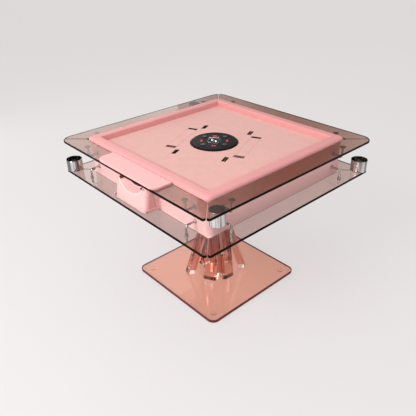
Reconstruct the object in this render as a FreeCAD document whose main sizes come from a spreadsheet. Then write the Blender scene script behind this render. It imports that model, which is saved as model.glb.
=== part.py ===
import FreeCAD, Part
import os
import re
import Sketcher

os.makedirs("parts", exist_ok=True)

# Automatic mahjong table: a pink machine body on a rose acrylic pedestal,
# with two tiers of mitred smoked glass panes on chrome posts and hooks.
# Millimetres, +Z up, origin on the floor under the centre of the table.
# Front (-Y) is the side with the flap and the tile bin.

SIZES = {
    # base plate on the floor
    "pad_height": 3,
    "pad_radius": 15,
    "pad_inset": 55,
    "base_half": 299,
    "base_thick": 15,
    "base_corner": 37,
    # pedestal: bent bars around a six-sided core
    "outer_foot_radius": 142,
    "inner_foot_radius": 88,
    "waist_radius": 50,
    "waist_level": 330,
    "head_radius": 96,
    "bar_depth": 42,
    "outer_bar_width": 54,
    "inner_bar_width": 76,
    "bar_bevel": 11,
    "bar_gap": 1,
    "core_apothem": 27,
    "flange_half": 140,
    "flange_thick": 12,
    "flange_corner": 40,
    "bolt_radius": 4,
    "bolt_head_radius": 8,
    "bolt_head_height": 6,
    "bolt_spread": 118,
    "bolt_play": 0.3,
    # machine body
    "casing_half": 421,
    "casing_corner": 32,
    "casing_edge": 5,
    "casing_wall": 3.5,
    "casing_bottom": 597,
    "casing_height": 160.5,
    "lip_thick": 3,
    "lip_width": 21,
    "ledge_thick": 3.5,
    "ledge_width": 36,
    "pan_thick": 3,
    "pan_play": 1.5,
    # playing surface and rim
    "board_thick": 12,
    "board_play": 1,
    "cloth_thick": 2,
    "cloth_play": 0.5,
    "rim_overhang": 5,
    "rim_height": 21.5,
    "rim_corner": 24,
    "rim_edge": 8,
    "rim_width": 49,
    "rim_inner_edge": 5,
    "rim_tongue_play": 1,
    "rim_tongue_drop": 8.5,
    # glass tiers
    "glass_thick": 8,
    "glass_gap": 2,
    "top_glass_reach": 99,
    "top_glass_lift": 0.5,
    "top_glass_clear": 1.5,
    "lower_glass_reach": 94,
    "lower_glass_lift": 3.6,
    "lower_glass_clear": 2,
    "top_glass_corner": 58,
    "lower_glass_corner": 20,
    "near_glass_corner": 12,
    # chrome posts and hooks
    "post_stand": 47,
    "post_inset": 74,
    "post_rod": 5,
    "post_bend": 14,
    "post_length": 49,
    "post_head_radius": 13.5,
    "post_head_height": 17,
    "post_head_rim": 2,
    "rosette_radius": 9,
    "rosette_thick": 3,
    "hook_rod": 4.5,
    "hook_rise": 49.4,
    "hook_drop": 26.6,
    "hook_hole_play": 0.7,
    "collar_radius": 8,
    "collar_height": 6,
    "collar_play": 0.1,
    # cup holders
    "cup_wall": 1.6,
    "shelf_cup_radius": 38.5,
    "shelf_cup_height": 56,
    "shelf_cup_inset": 34,
    "hung_cup_radius": 31.5,
    "hung_cup_height": 58,
    "hung_cup_gap": 2.4,
    "near_cup_inset": 42,
    "near_cup_shift": 91,
    "back_cup_inset": 38,
    "back_cup_shift": 228,
    "cup_pin_reach": 37,
    "cup_pin_radius": 2,
    "cup_pin_disc_radius": 6,
    "cup_pin_disc_thick": 2,
    "cup_pin_foot_radius": 3.6,
    "cup_pin_foot_thick": 2,
    "cup_pin_foot_gap": 0.4,
    "cup_eye_radius": 5,
    "cup_eye_height": 6,
    "cup_neck_width": 7,
    # flap over the front glass
    "lid_centre": 21.5,
    "lid_width": 411,
    "lid_setback": 2,
    "lid_thick": 9,
    "lid_corner": 34,
    "lid_edge": 3,
    "lid_axis_offset": 7,
    "lid_ear_width": 11,
    "lid_ear_spread": 150,
    "lid_ear_play": 0.5,
    "lid_notch_reach": 6.5,
    "lid_pin_radius": 1.5,
    "pin_play": 0.08,
    "hatch_width": 216,
    "hatch_reach": 72,
    # tip-out tile bin
    "bin_centre": 8,
    "bin_width": 224,
    "bin_lift": 4.4,
    "bin_top_gap": 25,
    "bin_front_foot": 75,
    "bin_front_head": 54,
    "bin_seam_foot": 17,
    "bin_seam_head": 37,
    "bin_back": 6,
    "bin_wall": 4,
    "bin_cavity_front": 34,
    "bin_play": 0.8,
    "bin_pivot_in": 7,
    "bin_pivot_up": 7.5,
    "bin_pin_radius": 3,
    "bin_pin_depth": 8,
    "cheek_thick": 7,
    "cheek_foot_gap": 4,
    "bracket_thick": 3,
    "arm_height": 14,
    "scoop_half": 104,
    "scoop_drop": 72,
    "scoop_inner_half": 72,
    "scoop_inner_drop": 43,
    "grip_slot_width": 22,
    "grip_slot_height": 5,
    "grip_slot_depth": 9,
    "grip_slot_offset": 86,
    "grip_slot_drop": 24,
    # control dial and its lift
    "dial_radius": 111,
    "dial_play": 2.5,
    "dial_height": 24,
    "dial_rise": 6,
    "dial_bevel": 5,
    "stem_radius": 31.95,
    "stem_play": 0.05,
    "stem_clear": 9,
    "column_wall": 8,
    "column_clear": 5,
    "button_radius": 12.5,
    "button_play": 0.3,
    "button_ring": 70,
    "button_height": 9.5,
    "button_rise": 3,
    "button_travel": 1.5,
    "display_ring": 60,
    "display_length": 22,
    "display_width": 10,
    "display_thick": 2.4,
    "display_rise": 0.4,
    "display_play": 0.2,
    "dome_radius": 32,
    "dome_height": 15,
    "dome_wall": 1.5,
    "dice_well_radius": 28,
    "dice_well_depth": 6,
    "dice_disc_play": 0.3,
    "dice_disc_thick": 2,
    "dice_shaft_radius": 3,
    "dice_shaft_length": 6,
    "dice_side": 8,
    "dice_ring": 11,
    # tile lifts around the dial
    "lift_stand": 55,
    "lift_corner_gap": 16,
    "lift_slot": 10,
    "lift_width": 50,
    "board_slot_ease": 1.5,
    "lift_play": 0.6,
    "lift_plate_thick": 6,
    "lift_stem_thick": 8,
    "lift_stem_width": 24,
    "lift_stem_drop": 93,
    "stem_slot_play": 0.3,
    "well_wall": 2.2,
    "well_floor": 2,
    "well_depth": 51,
    "guide_thick": 26,
    "guide_width": 44,
    "lift_motor_length": 42,
    "lift_motor_width": 34,
    "lift_motor_height": 40,
    # shuffle drum under the dial
    "drum_gap": 2,
    "drum_wall": 3,
    "drum_height": 80,
    "throat_step": 15,
    "throat_clear": 0.5,
    "column_seat_play": 0.2,
    "disc_clear": 3,
    "disc_thick": 8,
    "disc_lift": 39,
    "disc_bore_play": 0.08,
    "disc_rib_height": 3,
    "disc_rib_width": 6,
    "disc_rib_inset": 5,
    "disc_hub_radius": 62,
    "disc_hub_wall": 12,
    "disc_hub_height": 12,
    "bearing_radius": 46,
    "bearing_clear": 0.2,
    "roller_radius": 15,
    "roller_gap": 0.3,
    "roller_height": 10,
    "roller_clear": 3,
    "roller_shaft_radius": 3,
    "roller_shaft_drop": 8,
    "motor_radius": 18,
    "motor_height": 20,
    # electrics
    "supply_length": 160,
    "supply_width": 95,
    "supply_height": 50,
    "supply_inset": 131,
    "circuit_length": 160,
    "circuit_width": 110,
    "circuit_thick": 1.6,
    "circuit_lift": 9,
    "circuit_inset": 131,
    "standoff_radius": 3,
    "standoff_inset": 8,
    "chip_side": 22,
    "chip_height": 3,
    "inlet_inset": 151,
    "inlet_lift": 58,
    "inlet_plate_length": 100,
    "inlet_plate_height": 36,
    "inlet_plate_thick": 3,
    "inlet_body_margin": 5,
    "inlet_body_depth": 26,
    "socket_offset": 20,
    "socket_length": 30,
    "socket_height": 20,
    "socket_depth": 14,
    "socket_pin_width": 2,
    "socket_pin_height": 5,
    "socket_pin_length": 11,
    "socket_pin_pitch": 7,
    "switch_offset": 26,
    "switch_length": 14,
    "switch_height": 20,
    "switch_depth": 8,
    "switch_rise": 1.5,
    "switch_play": 1.3,
    "switch_axle_radius": 1.5,
    # run-out of every cutting tool past the solid that it cuts
    "overrun": 5,
}

# Places that follow the machine body, so that one size moves all that belongs to it.
FOLLOWING = {
    "cavity_half": "casing_half - casing_wall",
    "cavity_corner": "casing_corner - casing_wall",
    "rim_half": "casing_half + rim_overhang",
    "rim_inner_half": "rim_half - rim_width",
    "top_glass_half": "casing_half + top_glass_reach",
    "top_glass_inner": "rim_half + top_glass_clear",
    "top_glass_level": "casing_bottom + casing_height + top_glass_lift",
    "lower_glass_half": "casing_half + lower_glass_reach",
    "lower_glass_inner": "casing_half + lower_glass_clear",
    "lower_glass_level": "casing_bottom + lower_glass_lift",
    "post_reach": "casing_half + post_stand",
    "post_spread": "casing_half - post_inset",
    "post_arm_level": "top_glass_level - post_length",
    "hook_arm_level": "lower_glass_level + hook_rise",
    "hook_tail_level": "lower_glass_level - hook_drop",
    "shelf_cup_place": "lower_glass_half - shelf_cup_inset",
    "near_cup_x": "top_glass_half - near_cup_inset",
    "near_cup_y": "near_cup_shift - top_glass_half",
    "back_cup_x": "back_cup_inset - top_glass_half",
    "back_cup_y": "top_glass_half - back_cup_shift",
    "lid_front": "top_glass_half - lid_setback",
    "bin_floor": "lower_glass_level + glass_thick + bin_lift",
    "bin_height": "top_glass_level - bin_floor - bin_top_gap",
    "lift_radius": "dial_radius + lift_stand",
    "lift_span": "2 * (lift_radius - lift_width / 2 - lift_corner_gap)",
    "drum_radius": "lift_radius - guide_thick / 2 - drum_gap",
    "throat_radius": "drum_radius - throat_step",
    "disc_radius": "drum_radius - drum_wall - disc_clear",
    "disc_level": "casing_bottom + lip_thick + pan_thick + disc_lift",
    "supply_offset": "casing_half - supply_inset",
    "circuit_offset": "casing_half - circuit_inset",
    "inlet_centre": "inlet_inset - casing_half",
    "inlet_level": "casing_bottom + inlet_lift",
}

SIDE_NAMES = ("front", "right", "back", "left")
QUARTER_TURN = 90
ORIGIN = FreeCAD.Vector()
ALONG = FreeCAD.Vector(1, 0, 0)
ACROSS = FreeCAD.Vector(0, 1, 0)
UPRIGHT = FreeCAD.Vector(0, 0, 1)
LIFT_TURN = 24.6
PEDESTAL_TURN = 58
NEAR_CUP_TURN = 33
BACK_CUP_TURN = 137
BAR_COUNT = 6
BAR_TURN = 360 / BAR_COUNT
DISC_RIB_COUNT = 6
TOLERANCE_SHARE = 1e-4

doc = FreeCAD.newDocument("MahjongTable")
sheet = doc.addObject("Spreadsheet::Sheet", "Sizes")
for row, alias in enumerate([*SIZES, *FOLLOWING], start=1):
    sheet.set(f"A{row}", alias)
    sheet.set(f"B{row}", f"={FOLLOWING[alias]}" if alias in FOLLOWING else str(SIZES[alias]))
    sheet.setAlias(f"B{row}", alias)
doc.recompute()

NODES = []


# Helpers: formulas are written with the bare names of the sheet.

def formula(text):
    """Puts the sheet's name before each size that a formula uses."""
    known = {**SIZES, **FOLLOWING}
    return re.sub("[a-z_]+", lambda m: f"Sizes.{m.group()}" if m.group() in known else m.group(), text)


def bind(thing, **formulas):
    for name, text in formulas.items():
        thing.setExpression(name, formula(text))


def place(thing, x="0", y="0", z="0"):
    """Binds where a thing's own origin lies."""
    for axis, text in zip("xyz", (x, y, z)):
        thing.setExpression(f"Placement.Base.{axis}", formula(text))


def turn(thing, degrees):
    """Turns a finished shape about the table's upright axis."""
    thing.Placement = FreeCAD.Placement(ORIGIN, FreeCAD.Rotation(UPRIGHT, degrees))
    return thing


def node(thing, label):
    """Names a finished sub-part, which gets a file of its own."""
    thing.Label = label
    NODES.append(thing)
    return thing


def block(length, width, height, x="0", y="0", z="0"):
    """A box centred on x and y that stands on z."""
    thing = doc.addObject("Part::Box", "Block")
    bind(thing, Length=length, Width=width, Height=height)
    place(thing, f"{x} - ({length}) / 2", f"{y} - ({width}) / 2", z)
    return thing


def rod(radius, length, x="0", y="0", z="0", along="Z"):
    """A cylinder from its first end, along +X, +Y or +Z."""
    thing = doc.addObject("Part::Cylinder", "Rod")
    bind(thing, Radius=radius, Height=length)
    lean = {"X": FreeCAD.Rotation(ACROSS, QUARTER_TURN),
            "Y": FreeCAD.Rotation(ALONG, -QUARTER_TURN),
            "Z": FreeCAD.Rotation()}[along]
    thing.Placement = FreeCAD.Placement(ORIGIN, lean)
    place(thing, x, y, z)
    return thing


def cone(low_radius, high_radius, height, x="0", y="0", z="0"):
    thing = doc.addObject("Part::Cone", "Cone")
    bind(thing, Radius1=low_radius, Radius2=high_radius, Height=height)
    place(thing, x, y, z)
    return thing


def frustum(low, high, z_low, z_high):
    """A solid between two level rectangles, each given as x from, x to, y from, y to."""
    thing = doc.addObject("Part::Wedge", "Frustum")
    thing.Placement = FreeCAD.Placement(ORIGIN, FreeCAD.Rotation(ALONG, QUARTER_TURN))
    bind(thing, Ymin=z_low, Ymax=z_high,
         Xmin=low[0], Xmax=low[1], Zmin=f"-({low[3]})", Zmax=f"-({low[2]})",
         X2min=high[0], X2max=high[1], Z2min=f"-({high[3]})", Z2max=f"-({high[2]})")
    return thing


def trapezoid(y_from, half_from, y_to, half_to, z, height):
    """A flat plate, symmetric about the Y axis, whose width changes evenly along Y."""
    thing = doc.addObject("Part::Wedge", "Trapezoid")
    bind(thing, Ymin=y_from, Ymax=y_to, Zmin=z, Zmax=f"{z} + {height}", Z2min=z, Z2max=f"{z} + {height}",
         Xmin=f"-({half_from})", Xmax=half_from, X2min=f"-({half_to})", X2max=half_to)
    return thing


def group(*things):
    thing = doc.addObject("Part::Compound", "Group")
    thing.Links = list(things)
    return thing


def fuse(*things):
    thing = doc.addObject("Part::MultiFuse", "Fusion")
    thing.Shapes = list(things)
    return thing


def cut(base, *tools):
    """Takes each tool away from the base, one after the other."""
    for tool in tools:
        thing = doc.addObject("Part::Cut", "Cut")
        thing.Base = base
        thing.Tool = tool
        base = thing
    return base


def common(base, tool):
    thing = doc.addObject("Part::Common", "Common")
    thing.Base = base
    thing.Tool = tool
    return thing


def ring(outer, inner, height, x="0", y="0", z="0"):
    """A tube standing on z."""
    hole = rod(inner, f"{height} + 2 * overrun", x, y, f"{z} - overrun")
    return cut(rod(outer, height, x, y, z), hole)


def close(one, other):
    return abs(one - other) < TOLERANCE_SHARE


def upright_edges(shape):
    """Names the edges that run straight up."""
    found = []
    for number, edge in enumerate(shape.Edges, start=1):
        start, end = edge.Vertexes[0].Point, edge.Vertexes[-1].Point
        if close(start.x, end.x) and close(start.y, end.y) and not close(start.z, end.z):
            found.append((f"Edge{number}", start))
    return found


def level_edges(shape, z):
    """Names the edges that lie at one height, each with its middle."""
    found = []
    for number, edge in enumerate(shape.Edges, start=1):
        if all(close(vertex.Z, z) for vertex in edge.Vertexes):
            found.append((f"Edge{number}", edge.CenterOfMass))
    return found


def rectangle(body, width, depth, z):
    """A sketch of a centred rectangle on the body's own level plane."""
    sketch = body.newObject("Sketcher::SketchObject", "Outline")
    plane = next(each for each in body.Origin.OriginFeatures if each.Role == "XY_Plane")
    sketch.AttachmentSupport = [(plane, "")]
    sketch.MapMode = "FlatFace"
    sketch.setExpression("AttachmentOffset.Base.z", formula(z))
    corners = [FreeCAD.Vector(x, y, 0) for x, y in ((-1, -1), (1, -1), (1, 1), (-1, 1))]
    for number in range(4):
        sketch.addGeometry(Part.LineSegment(corners[number], corners[(number + 1) % 4]), False)
    for number in range(4):
        sketch.addConstraint(Sketcher.Constraint("Coincident", number, 2, (number + 1) % 4, 1))
    for number, direction in enumerate(("Horizontal", "Vertical", "Horizontal", "Vertical")):
        sketch.addConstraint(Sketcher.Constraint(direction, number))
    sketch.addConstraint(Sketcher.Constraint("Symmetric", 0, 1, 1, 2, -1, 1))
    for name, first, second, text in (("DistanceX", 0, 0, width), ("DistanceY", 1, 1, depth)):
        index = sketch.addConstraint(Sketcher.Constraint(name, first, 1, second, 2, 2))
        sketch.setExpression(f"Constraints[{index}]", formula(text))
    return sketch


def pad(body, sketch, height):
    feature = body.newObject("PartDesign::Pad", "Pad")
    feature.Profile = sketch
    bind(feature, Length=height)
    sketch.Visibility = False
    doc.recompute()
    return feature


def pocket(body, sketch, depth):
    """Cuts down from the sketch and checks that it took something away."""
    before = body.Shape.Volume
    feature = body.newObject("PartDesign::Pocket", "Pocket")
    feature.Profile = sketch
    bind(feature, Length=depth)
    doc.recompute()
    if feature.Shape.Volume >= before:
        raise RuntimeError("a pocket cut nothing")
    return feature


def round_edges(body, base, names, radius):
    feature = body.newObject("PartDesign::Fillet", "Rounding")
    feature.Base = (base, names)
    bind(feature, Radius=radius)
    doc.recompute()
    return feature


def rounded_plate(width, depth, z, height, corner, keep=lambda point: True):
    """A body: a centred plate whose kept upright edges are rounded."""
    body = doc.addObject("PartDesign::Body", "Plate")
    solid = pad(body, rectangle(body, width, depth, z), height)
    names = [name for name, point in upright_edges(solid.Shape) if keep(point)]
    return body, round_edges(body, solid, names, corner)


def size(alias):
    return float(sheet.get(alias))


# Base plate, with thin pads under its corners and its middle.
plate_top = "(pad_height + base_thick)"
base_plate, _ = rounded_plate("2 * base_half", "2 * base_half", "pad_height", "base_thick", "base_corner")
node(base_plate, "base_plate")
pad_spots = [("0", "0")]
for x_sign in ("", "-"):
    for y_sign in ("", "-"):
        pad_spots.append((f"{x_sign}(base_half - pad_inset)", f"{y_sign}(base_half - pad_inset)"))
node(group(*[rod("pad_radius", "pad_height", x, y) for x, y in pad_spots]), "base_pads")

# Pedestal: each bar leans in from its foot to the waist and out again to the flange.
# Its inner side is a wedge, so that the bars close round the core like a sheaf.
flange_low = "(casing_bottom + lip_thick - flange_thick)"


def bar_half(foot, head, width, z_low, z_high):
    """One straight stretch of a bar, its two outer long edges bevelled."""
    span = [(f"{at} - bar_depth / 2", f"{at} + bar_depth / 2", f"-({width}) / 2", f"({width}) / 2")
            for at in (foot, head)]
    stretch = frustum(span[0], span[1], z_low, z_high)
    doc.recompute()
    middle = stretch.Shape.CenterOfGravity
    outer_edges = []
    for number, edge in enumerate(stretch.Shape.Edges, start=1):
        start, end = edge.Vertexes[0].Point, edge.Vertexes[-1].Point
        outward = edge.CenterOfMass.x > middle.x
        if outward and close(start.y, end.y) and not close(start.z, end.z):
            outer_edges.append((number, size("bar_bevel"), size("bar_bevel")))
    bevelled = doc.addObject("Part::Chamfer", "Bevel")
    bevelled.Base = stretch
    bevelled.Edges = outer_edges
    return bevelled


def bar(foot, width):
    lower = bar_half(foot, "waist_radius", width, plate_top, "waist_level")
    upper = bar_half("waist_radius", "head_radius", width, "waist_level", flange_low)
    return fuse(lower, upper)


sector_far = "(outer_foot_radius + bar_depth)"
sector = trapezoid(f"-{sector_far}", f"{sector_far} * tan(30) - bar_gap",
                   "-core_apothem - bar_gap", "(core_apothem + bar_gap) * tan(30) - bar_gap",
                   plate_top, f"({flange_low} - {plate_top})")
sector_out = group(sector)
turn(sector_out, QUARTER_TURN)
outer_bar = bar("outer_foot_radius", "outer_bar_width")
inner_bar = bar("inner_foot_radius", "inner_bar_width")
for number in range(BAR_COUNT):
    stock = outer_bar if number % 3 == 0 else inner_bar
    leg = turn(common(stock, sector_out), PEDESTAL_TURN + BAR_TURN * number)
    node(leg, f"pedestal_leg_{number + 1}")
core = doc.addObject("Part::Prism", "Core")
core.Polygon = BAR_COUNT
bind(core, Circumradius="core_apothem / cos(30)", Height=f"{flange_low} - ({plate_top})")
place(core, z=plate_top)
node(turn(group(core), PEDESTAL_TURN + BAR_TURN / 2), "pedestal_core")

# Flange plate on the pedestal, bolted up into the floor pan.
flange_body, _ = rounded_plate("2 * flange_half", "2 * flange_half", flange_low,
                               "flange_thick", "flange_corner")
pan_low = "(casing_bottom + lip_thick)"
pan_top = f"({pan_low} + pan_thick)"
bolt_spots = [(f"{a}bolt_spread", f"{b}bolt_spread") for a in ("", "-") for b in ("", "-")]
bolt_holes = group(*[rod("bolt_radius + bolt_play", "flange_thick + pan_thick + 2 * overrun", x, y,
                         f"{flange_low} - overrun") for x, y in bolt_spots])
node(cut(flange_body, bolt_holes), "pedestal_flange")
bolts = []
for x, y in bolt_spots:
    head = cone("bolt_head_radius * 3 / 4", "bolt_head_radius", "bolt_head_height", x, y,
                f"{flange_low} - bolt_head_height")
    bolts.append(fuse(head, rod("bolt_radius", "flange_thick + pan_thick", x, y, flange_low)))
node(group(*bolts), "flange_bolts")

# Casing: a pink skirt with a lip under the floor pan and a ledge under the playing board.
casing_top = "(casing_bottom + casing_height)"
board_top = f"({casing_top} - rim_tongue_drop)"
board_low = f"({board_top} - board_thick)"
cloth_top = f"({board_top} + cloth_thick)"
casing_body, skirt = rounded_plate("2 * casing_half", "2 * casing_half", "casing_bottom",
                                   "casing_height", "casing_corner")
bottom_names = [name for name, _ in level_edges(skirt.Shape, size("casing_bottom"))]
round_edges(casing_body, skirt, bottom_names, "casing_edge")


def square_hole(half, low, high):
    return block(f"2 * {half}", f"2 * {half}", f"{high} - ({low})", z=low)


def fitted_plate(play, low, height):
    """A plate that fills the casing up to its walls, round corners too, less the play."""
    width = f"2 * (cavity_half - {play})"
    return rounded_plate(width, width, low, height, f"cavity_corner - {play}")[0]


inlet_hole = block("inlet_plate_length - 2 * inlet_body_margin + 2 * bin_play",
                   "2 * casing_wall + 2 * overrun",
                   "inlet_plate_height - 2 * inlet_body_margin + 2 * bin_play",
                   "inlet_centre", "casing_half",
                   "inlet_level - inlet_plate_height / 2 + inlet_body_margin - bin_play")
casing = cut(casing_body,
             square_hole("(casing_half - lip_width)", "casing_bottom - overrun", f"{pan_low} + overrun"),
             fitted_plate("0", pan_low, f"{board_low} - ledge_thick - {pan_low}"),
             square_hole("(cavity_half - ledge_width)", f"{board_low} - ledge_thick - overrun",
                         f"{board_low} + overrun"),
             fitted_plate("0", board_low, f"{casing_top} + overrun - {board_low}"),
             inlet_hole)
node(casing, "casing_shell")
node(cut(fitted_plate("pan_play", pan_low, "pan_thick"), bolt_holes), "floor_pan")

# Playing board and its cloth, both open for the dial and for the four lifts.
# The board's slots are routed a little wider than the cloth's.


def surface_cutter(ease, low, thickness):
    holes = [rod("dial_radius + dial_play", f"{thickness} + 2 * overrun", z=f"{low} - overrun")]
    for number in range(len(SIDE_NAMES)):
        slot = block(f"lift_width + 2 * {ease}", f"lift_span + lift_slot + 2 * {ease}",
                     f"{thickness} + 2 * overrun", x="lift_radius", z=f"{low} - overrun")
        holes.append(turn(group(slot), LIFT_TURN + QUARTER_TURN * number))
    return group(*holes)


board = fitted_plate("board_play", board_low, "board_thick")
node(cut(board, surface_cutter("board_slot_ease", board_low, "board_thick")), "playing_board")
cloth_width = "2 * (rim_inner_half - cloth_play)"
cloth = block(cloth_width, cloth_width, "cloth_thick", z=board_top)
node(cut(cloth, surface_cutter("0", board_top, "cloth_thick")), "playing_cloth")

# Rim frame: a moulded pink frame, with a tongue that holds the board down.
rim_top = f"({casing_top} + rim_height)"
rim_body, rim_plate = rounded_plate("2 * rim_half", "2 * rim_half", casing_top, "rim_height", "rim_corner")
rim_top_level = size("casing_bottom") + size("casing_height") + size("rim_height")
outer_names = [name for name, _ in level_edges(rim_plate.Shape, rim_top_level)]
rim_round = round_edges(rim_body, rim_plate, outer_names, "rim_edge")
tongue_width = "2 * (cavity_half - rim_tongue_play)"
tongue = pad(rim_body, rectangle(rim_body, tongue_width, tongue_width, board_top), "rim_tongue_drop")
tongue_half = size("cavity_half") - size("rim_tongue_play")
tongue_names = [name for name, point in upright_edges(tongue.Shape)
                if close(abs(point.x), tongue_half) and close(abs(point.y), tongue_half)]
round_edges(rim_body, tongue, tongue_names, "cavity_corner - rim_tongue_play")

opening = pocket(rim_body, rectangle(rim_body, "2 * rim_inner_half", "2 * rim_inner_half", rim_top),
                 "rim_height + rim_tongue_drop + overrun")
inner_names = []
for name, middle in level_edges(opening.Shape, rim_top_level):
    if max(abs(middle.x), abs(middle.y)) < size("rim_inner_half") + size("rim_inner_edge"):
        inner_names.append(name)
round_edges(rim_body, opening, inner_names, "rim_inner_edge")
node(rim_body, "rim_frame")

# Glass: each tier is four mitred panes, with a fine open seam on each diagonal.
rod_holes = []
for sign in ("", "-"):
    rod_holes.append(rod("hook_rod + hook_hole_play", "glass_thick + 2 * overrun", f"{sign}post_spread",
                         "-post_reach", "lower_glass_level - overrun"))


def at_near_corner(point):
    return point.x > 0 > point.y


def tier(half, inner, corner, level, label, tools):
    """Four panes; tools holds what is cut from each, in the pane's own turned place."""
    blank, rounded = rounded_plate(f"2 * {half}", f"2 * {half}", level, "glass_thick", corner,
                                   lambda point: not at_near_corner(point))
    near_names = [name for name, point in upright_edges(rounded.Shape) if at_near_corner(point)]
    round_edges(blank, rounded, near_names, "near_glass_corner")
    for number, side in enumerate(SIDE_NAMES):
        mitre = trapezoid(f"-{half}", f"{half} - glass_gap", f"-{inner}", f"{inner} - glass_gap",
                          level, "glass_thick")
        outline = turn(group(mitre), QUARTER_TURN * number)
        node(cut(common(blank, outline), *tools[number]), f"{label}_{side}")


hatch = block("hatch_width", "hatch_reach + overrun", "glass_thick + 2 * overrun", "bin_centre",
              "-top_glass_inner - hatch_reach / 2 + overrun / 2", "top_glass_level - overrun")
tier("top_glass_half", "top_glass_inner", "top_glass_corner", "top_glass_level", "top_glass",
     [[hatch], [], [], []])
hook_tools = [[turn(group(*rod_holes), QUARTER_TURN * number)] for number in range(len(SIDE_NAMES))]
tier("lower_glass_half", "lower_glass_inner", "lower_glass_corner", "lower_glass_level", "lower_glass",
     hook_tools)

# Chrome posts: an arm out of the casing bends up to a trumpet head under the top glass.


def elbow(radius, bend, x, y, z, quarter):
    """A quarter bend of round rod in an upright plane across the front edge."""
    bend_ring = doc.addObject("Part::Torus", "Elbow")
    bind(bend_ring, Radius1=bend, Radius2=radius)
    bend_ring.Angle3 = QUARTER_TURN
    spin = FreeCAD.Rotation(ALONG, quarter * QUARTER_TURN)
    facing = FreeCAD.Rotation(ACROSS, UPRIGHT, ALONG, "XYZ")
    bend_ring.Placement = FreeCAD.Placement(ORIGIN, spin * facing)
    place(bend_ring, x, y, z)
    return bend_ring


def arm(radius, bend, x, level):
    """The level stretch of a post or hook, with its rosette on the casing."""
    straight = rod(radius, f"post_reach - casing_half - {bend}", x, f"-post_reach + {bend}", level, "Y")
    rosette = rod("rosette_radius", "rosette_thick", x, "-casing_half - rosette_thick", level, "Y")
    return [straight, rosette]


posts = []
hooks = []
collars = []
glass_top = "(lower_glass_level + glass_thick)"
for number in range(len(SIDE_NAMES)):
    for sign in ("", "-"):
        x = f"{sign}post_spread"
        neck_top = "(top_glass_level - post_head_height)"
        upright = rod("post_rod", f"{neck_top} - post_arm_level - post_bend", x, "-post_reach",
                      "post_arm_level + post_bend")
        flare = cone("post_rod", "post_head_radius", "post_head_height - post_head_rim",
                     x, "-post_reach", neck_top)
        lip = rod("post_head_radius", "post_head_rim", x, "-post_reach", "top_glass_level - post_head_rim")
        corner = elbow("post_rod", "post_bend", x, "-post_reach + post_bend",
                       "post_arm_level + post_bend", 2)
        post = fuse(upright, flare, lip, corner, *arm("post_rod", "post_bend", x, "post_arm_level"))
        posts.append(turn(post, QUARTER_TURN * number))
        tail = rod("hook_rod", "hook_arm_level - post_bend - hook_tail_level",
                   x, "-post_reach", "hook_tail_level")
        knee = elbow("hook_rod", "post_bend", x, "-post_reach + post_bend",
                     "hook_arm_level - post_bend", 1)
        hook = fuse(tail, knee, *arm("hook_rod", "post_bend", x, "hook_arm_level"))
        hooks.append(turn(hook, QUARTER_TURN * number))
        for low in ("lower_glass_level - collar_height", glass_top):
            collar = ring("collar_radius", "hook_rod + collar_play", "collar_height", x, "-post_reach", low)
            collars.append(turn(collar, QUARTER_TURN * number))
node(group(*posts), "glass_posts")
node(group(*hooks), "glass_hooks")
node(group(*collars), "hook_collars")

# Cup holders: polished steel cups. Two stand on the lower glass. Two hang close under
# the top glass, each by an eye on a pin, and swing out past its edge to be filled.


def cup(radius, height, z, x="0", y="0"):
    inside = rod(f"{radius} - cup_wall", height, x, y, f"{z} + cup_wall")
    return cut(rod(radius, height, x, y, z), inside)


def hung_cup(x, y, lean, label):
    """A cup with the eye that it swings on; gives back the pin of that eye."""
    top = "(top_glass_level - hung_cup_gap)"
    eye_low = f"({top} - cup_eye_height)"
    foot_low = f"({eye_low} - cup_pin_foot_gap - cup_pin_foot_thick)"
    disc_low = "(top_glass_level - cup_pin_disc_thick)"
    neck_start = "(hung_cup_radius - cup_wall / 2)"
    neck = block(f"cup_pin_reach - {neck_start}", "cup_neck_width", "cup_eye_height",
                 f"(cup_pin_reach + {neck_start}) / 2", z=eye_low)
    eye = rod("cup_eye_radius", "cup_eye_height", "cup_pin_reach", z=eye_low)
    bore = rod("cup_pin_radius + pin_play", "cup_eye_height + 2 * overrun", "cup_pin_reach",
               z=f"{eye_low} - overrun")
    shell = cup("hung_cup_radius", "hung_cup_height", f"{top} - hung_cup_height")
    whole = turn(group(fuse(shell, cut(fuse(neck, eye), bore))), lean)
    place(whole, x, y)
    node(whole, label)
    pin = turn(group(fuse(rod("cup_pin_foot_radius", "cup_pin_foot_thick", "cup_pin_reach", z=foot_low),
                          rod("cup_pin_radius", f"{disc_low} - {foot_low}", "cup_pin_reach", z=foot_low),
                          rod("cup_pin_disc_radius", "cup_pin_disc_thick", "cup_pin_reach", z=disc_low))),
               lean)
    place(pin, x, y)
    return pin


for sign, label in (("-", "cup_left"), ("", "cup_right")):
    spot = f"{sign}shelf_cup_place"
    node(cup("shelf_cup_radius", "shelf_cup_height", glass_top, spot, spot), label)

cup_pins = [hung_cup("near_cup_x", "near_cup_y", NEAR_CUP_TURN, "cup_near"),
            hung_cup("back_cup_x", "back_cup_y", BACK_CUP_TURN, "cup_back")]

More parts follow.
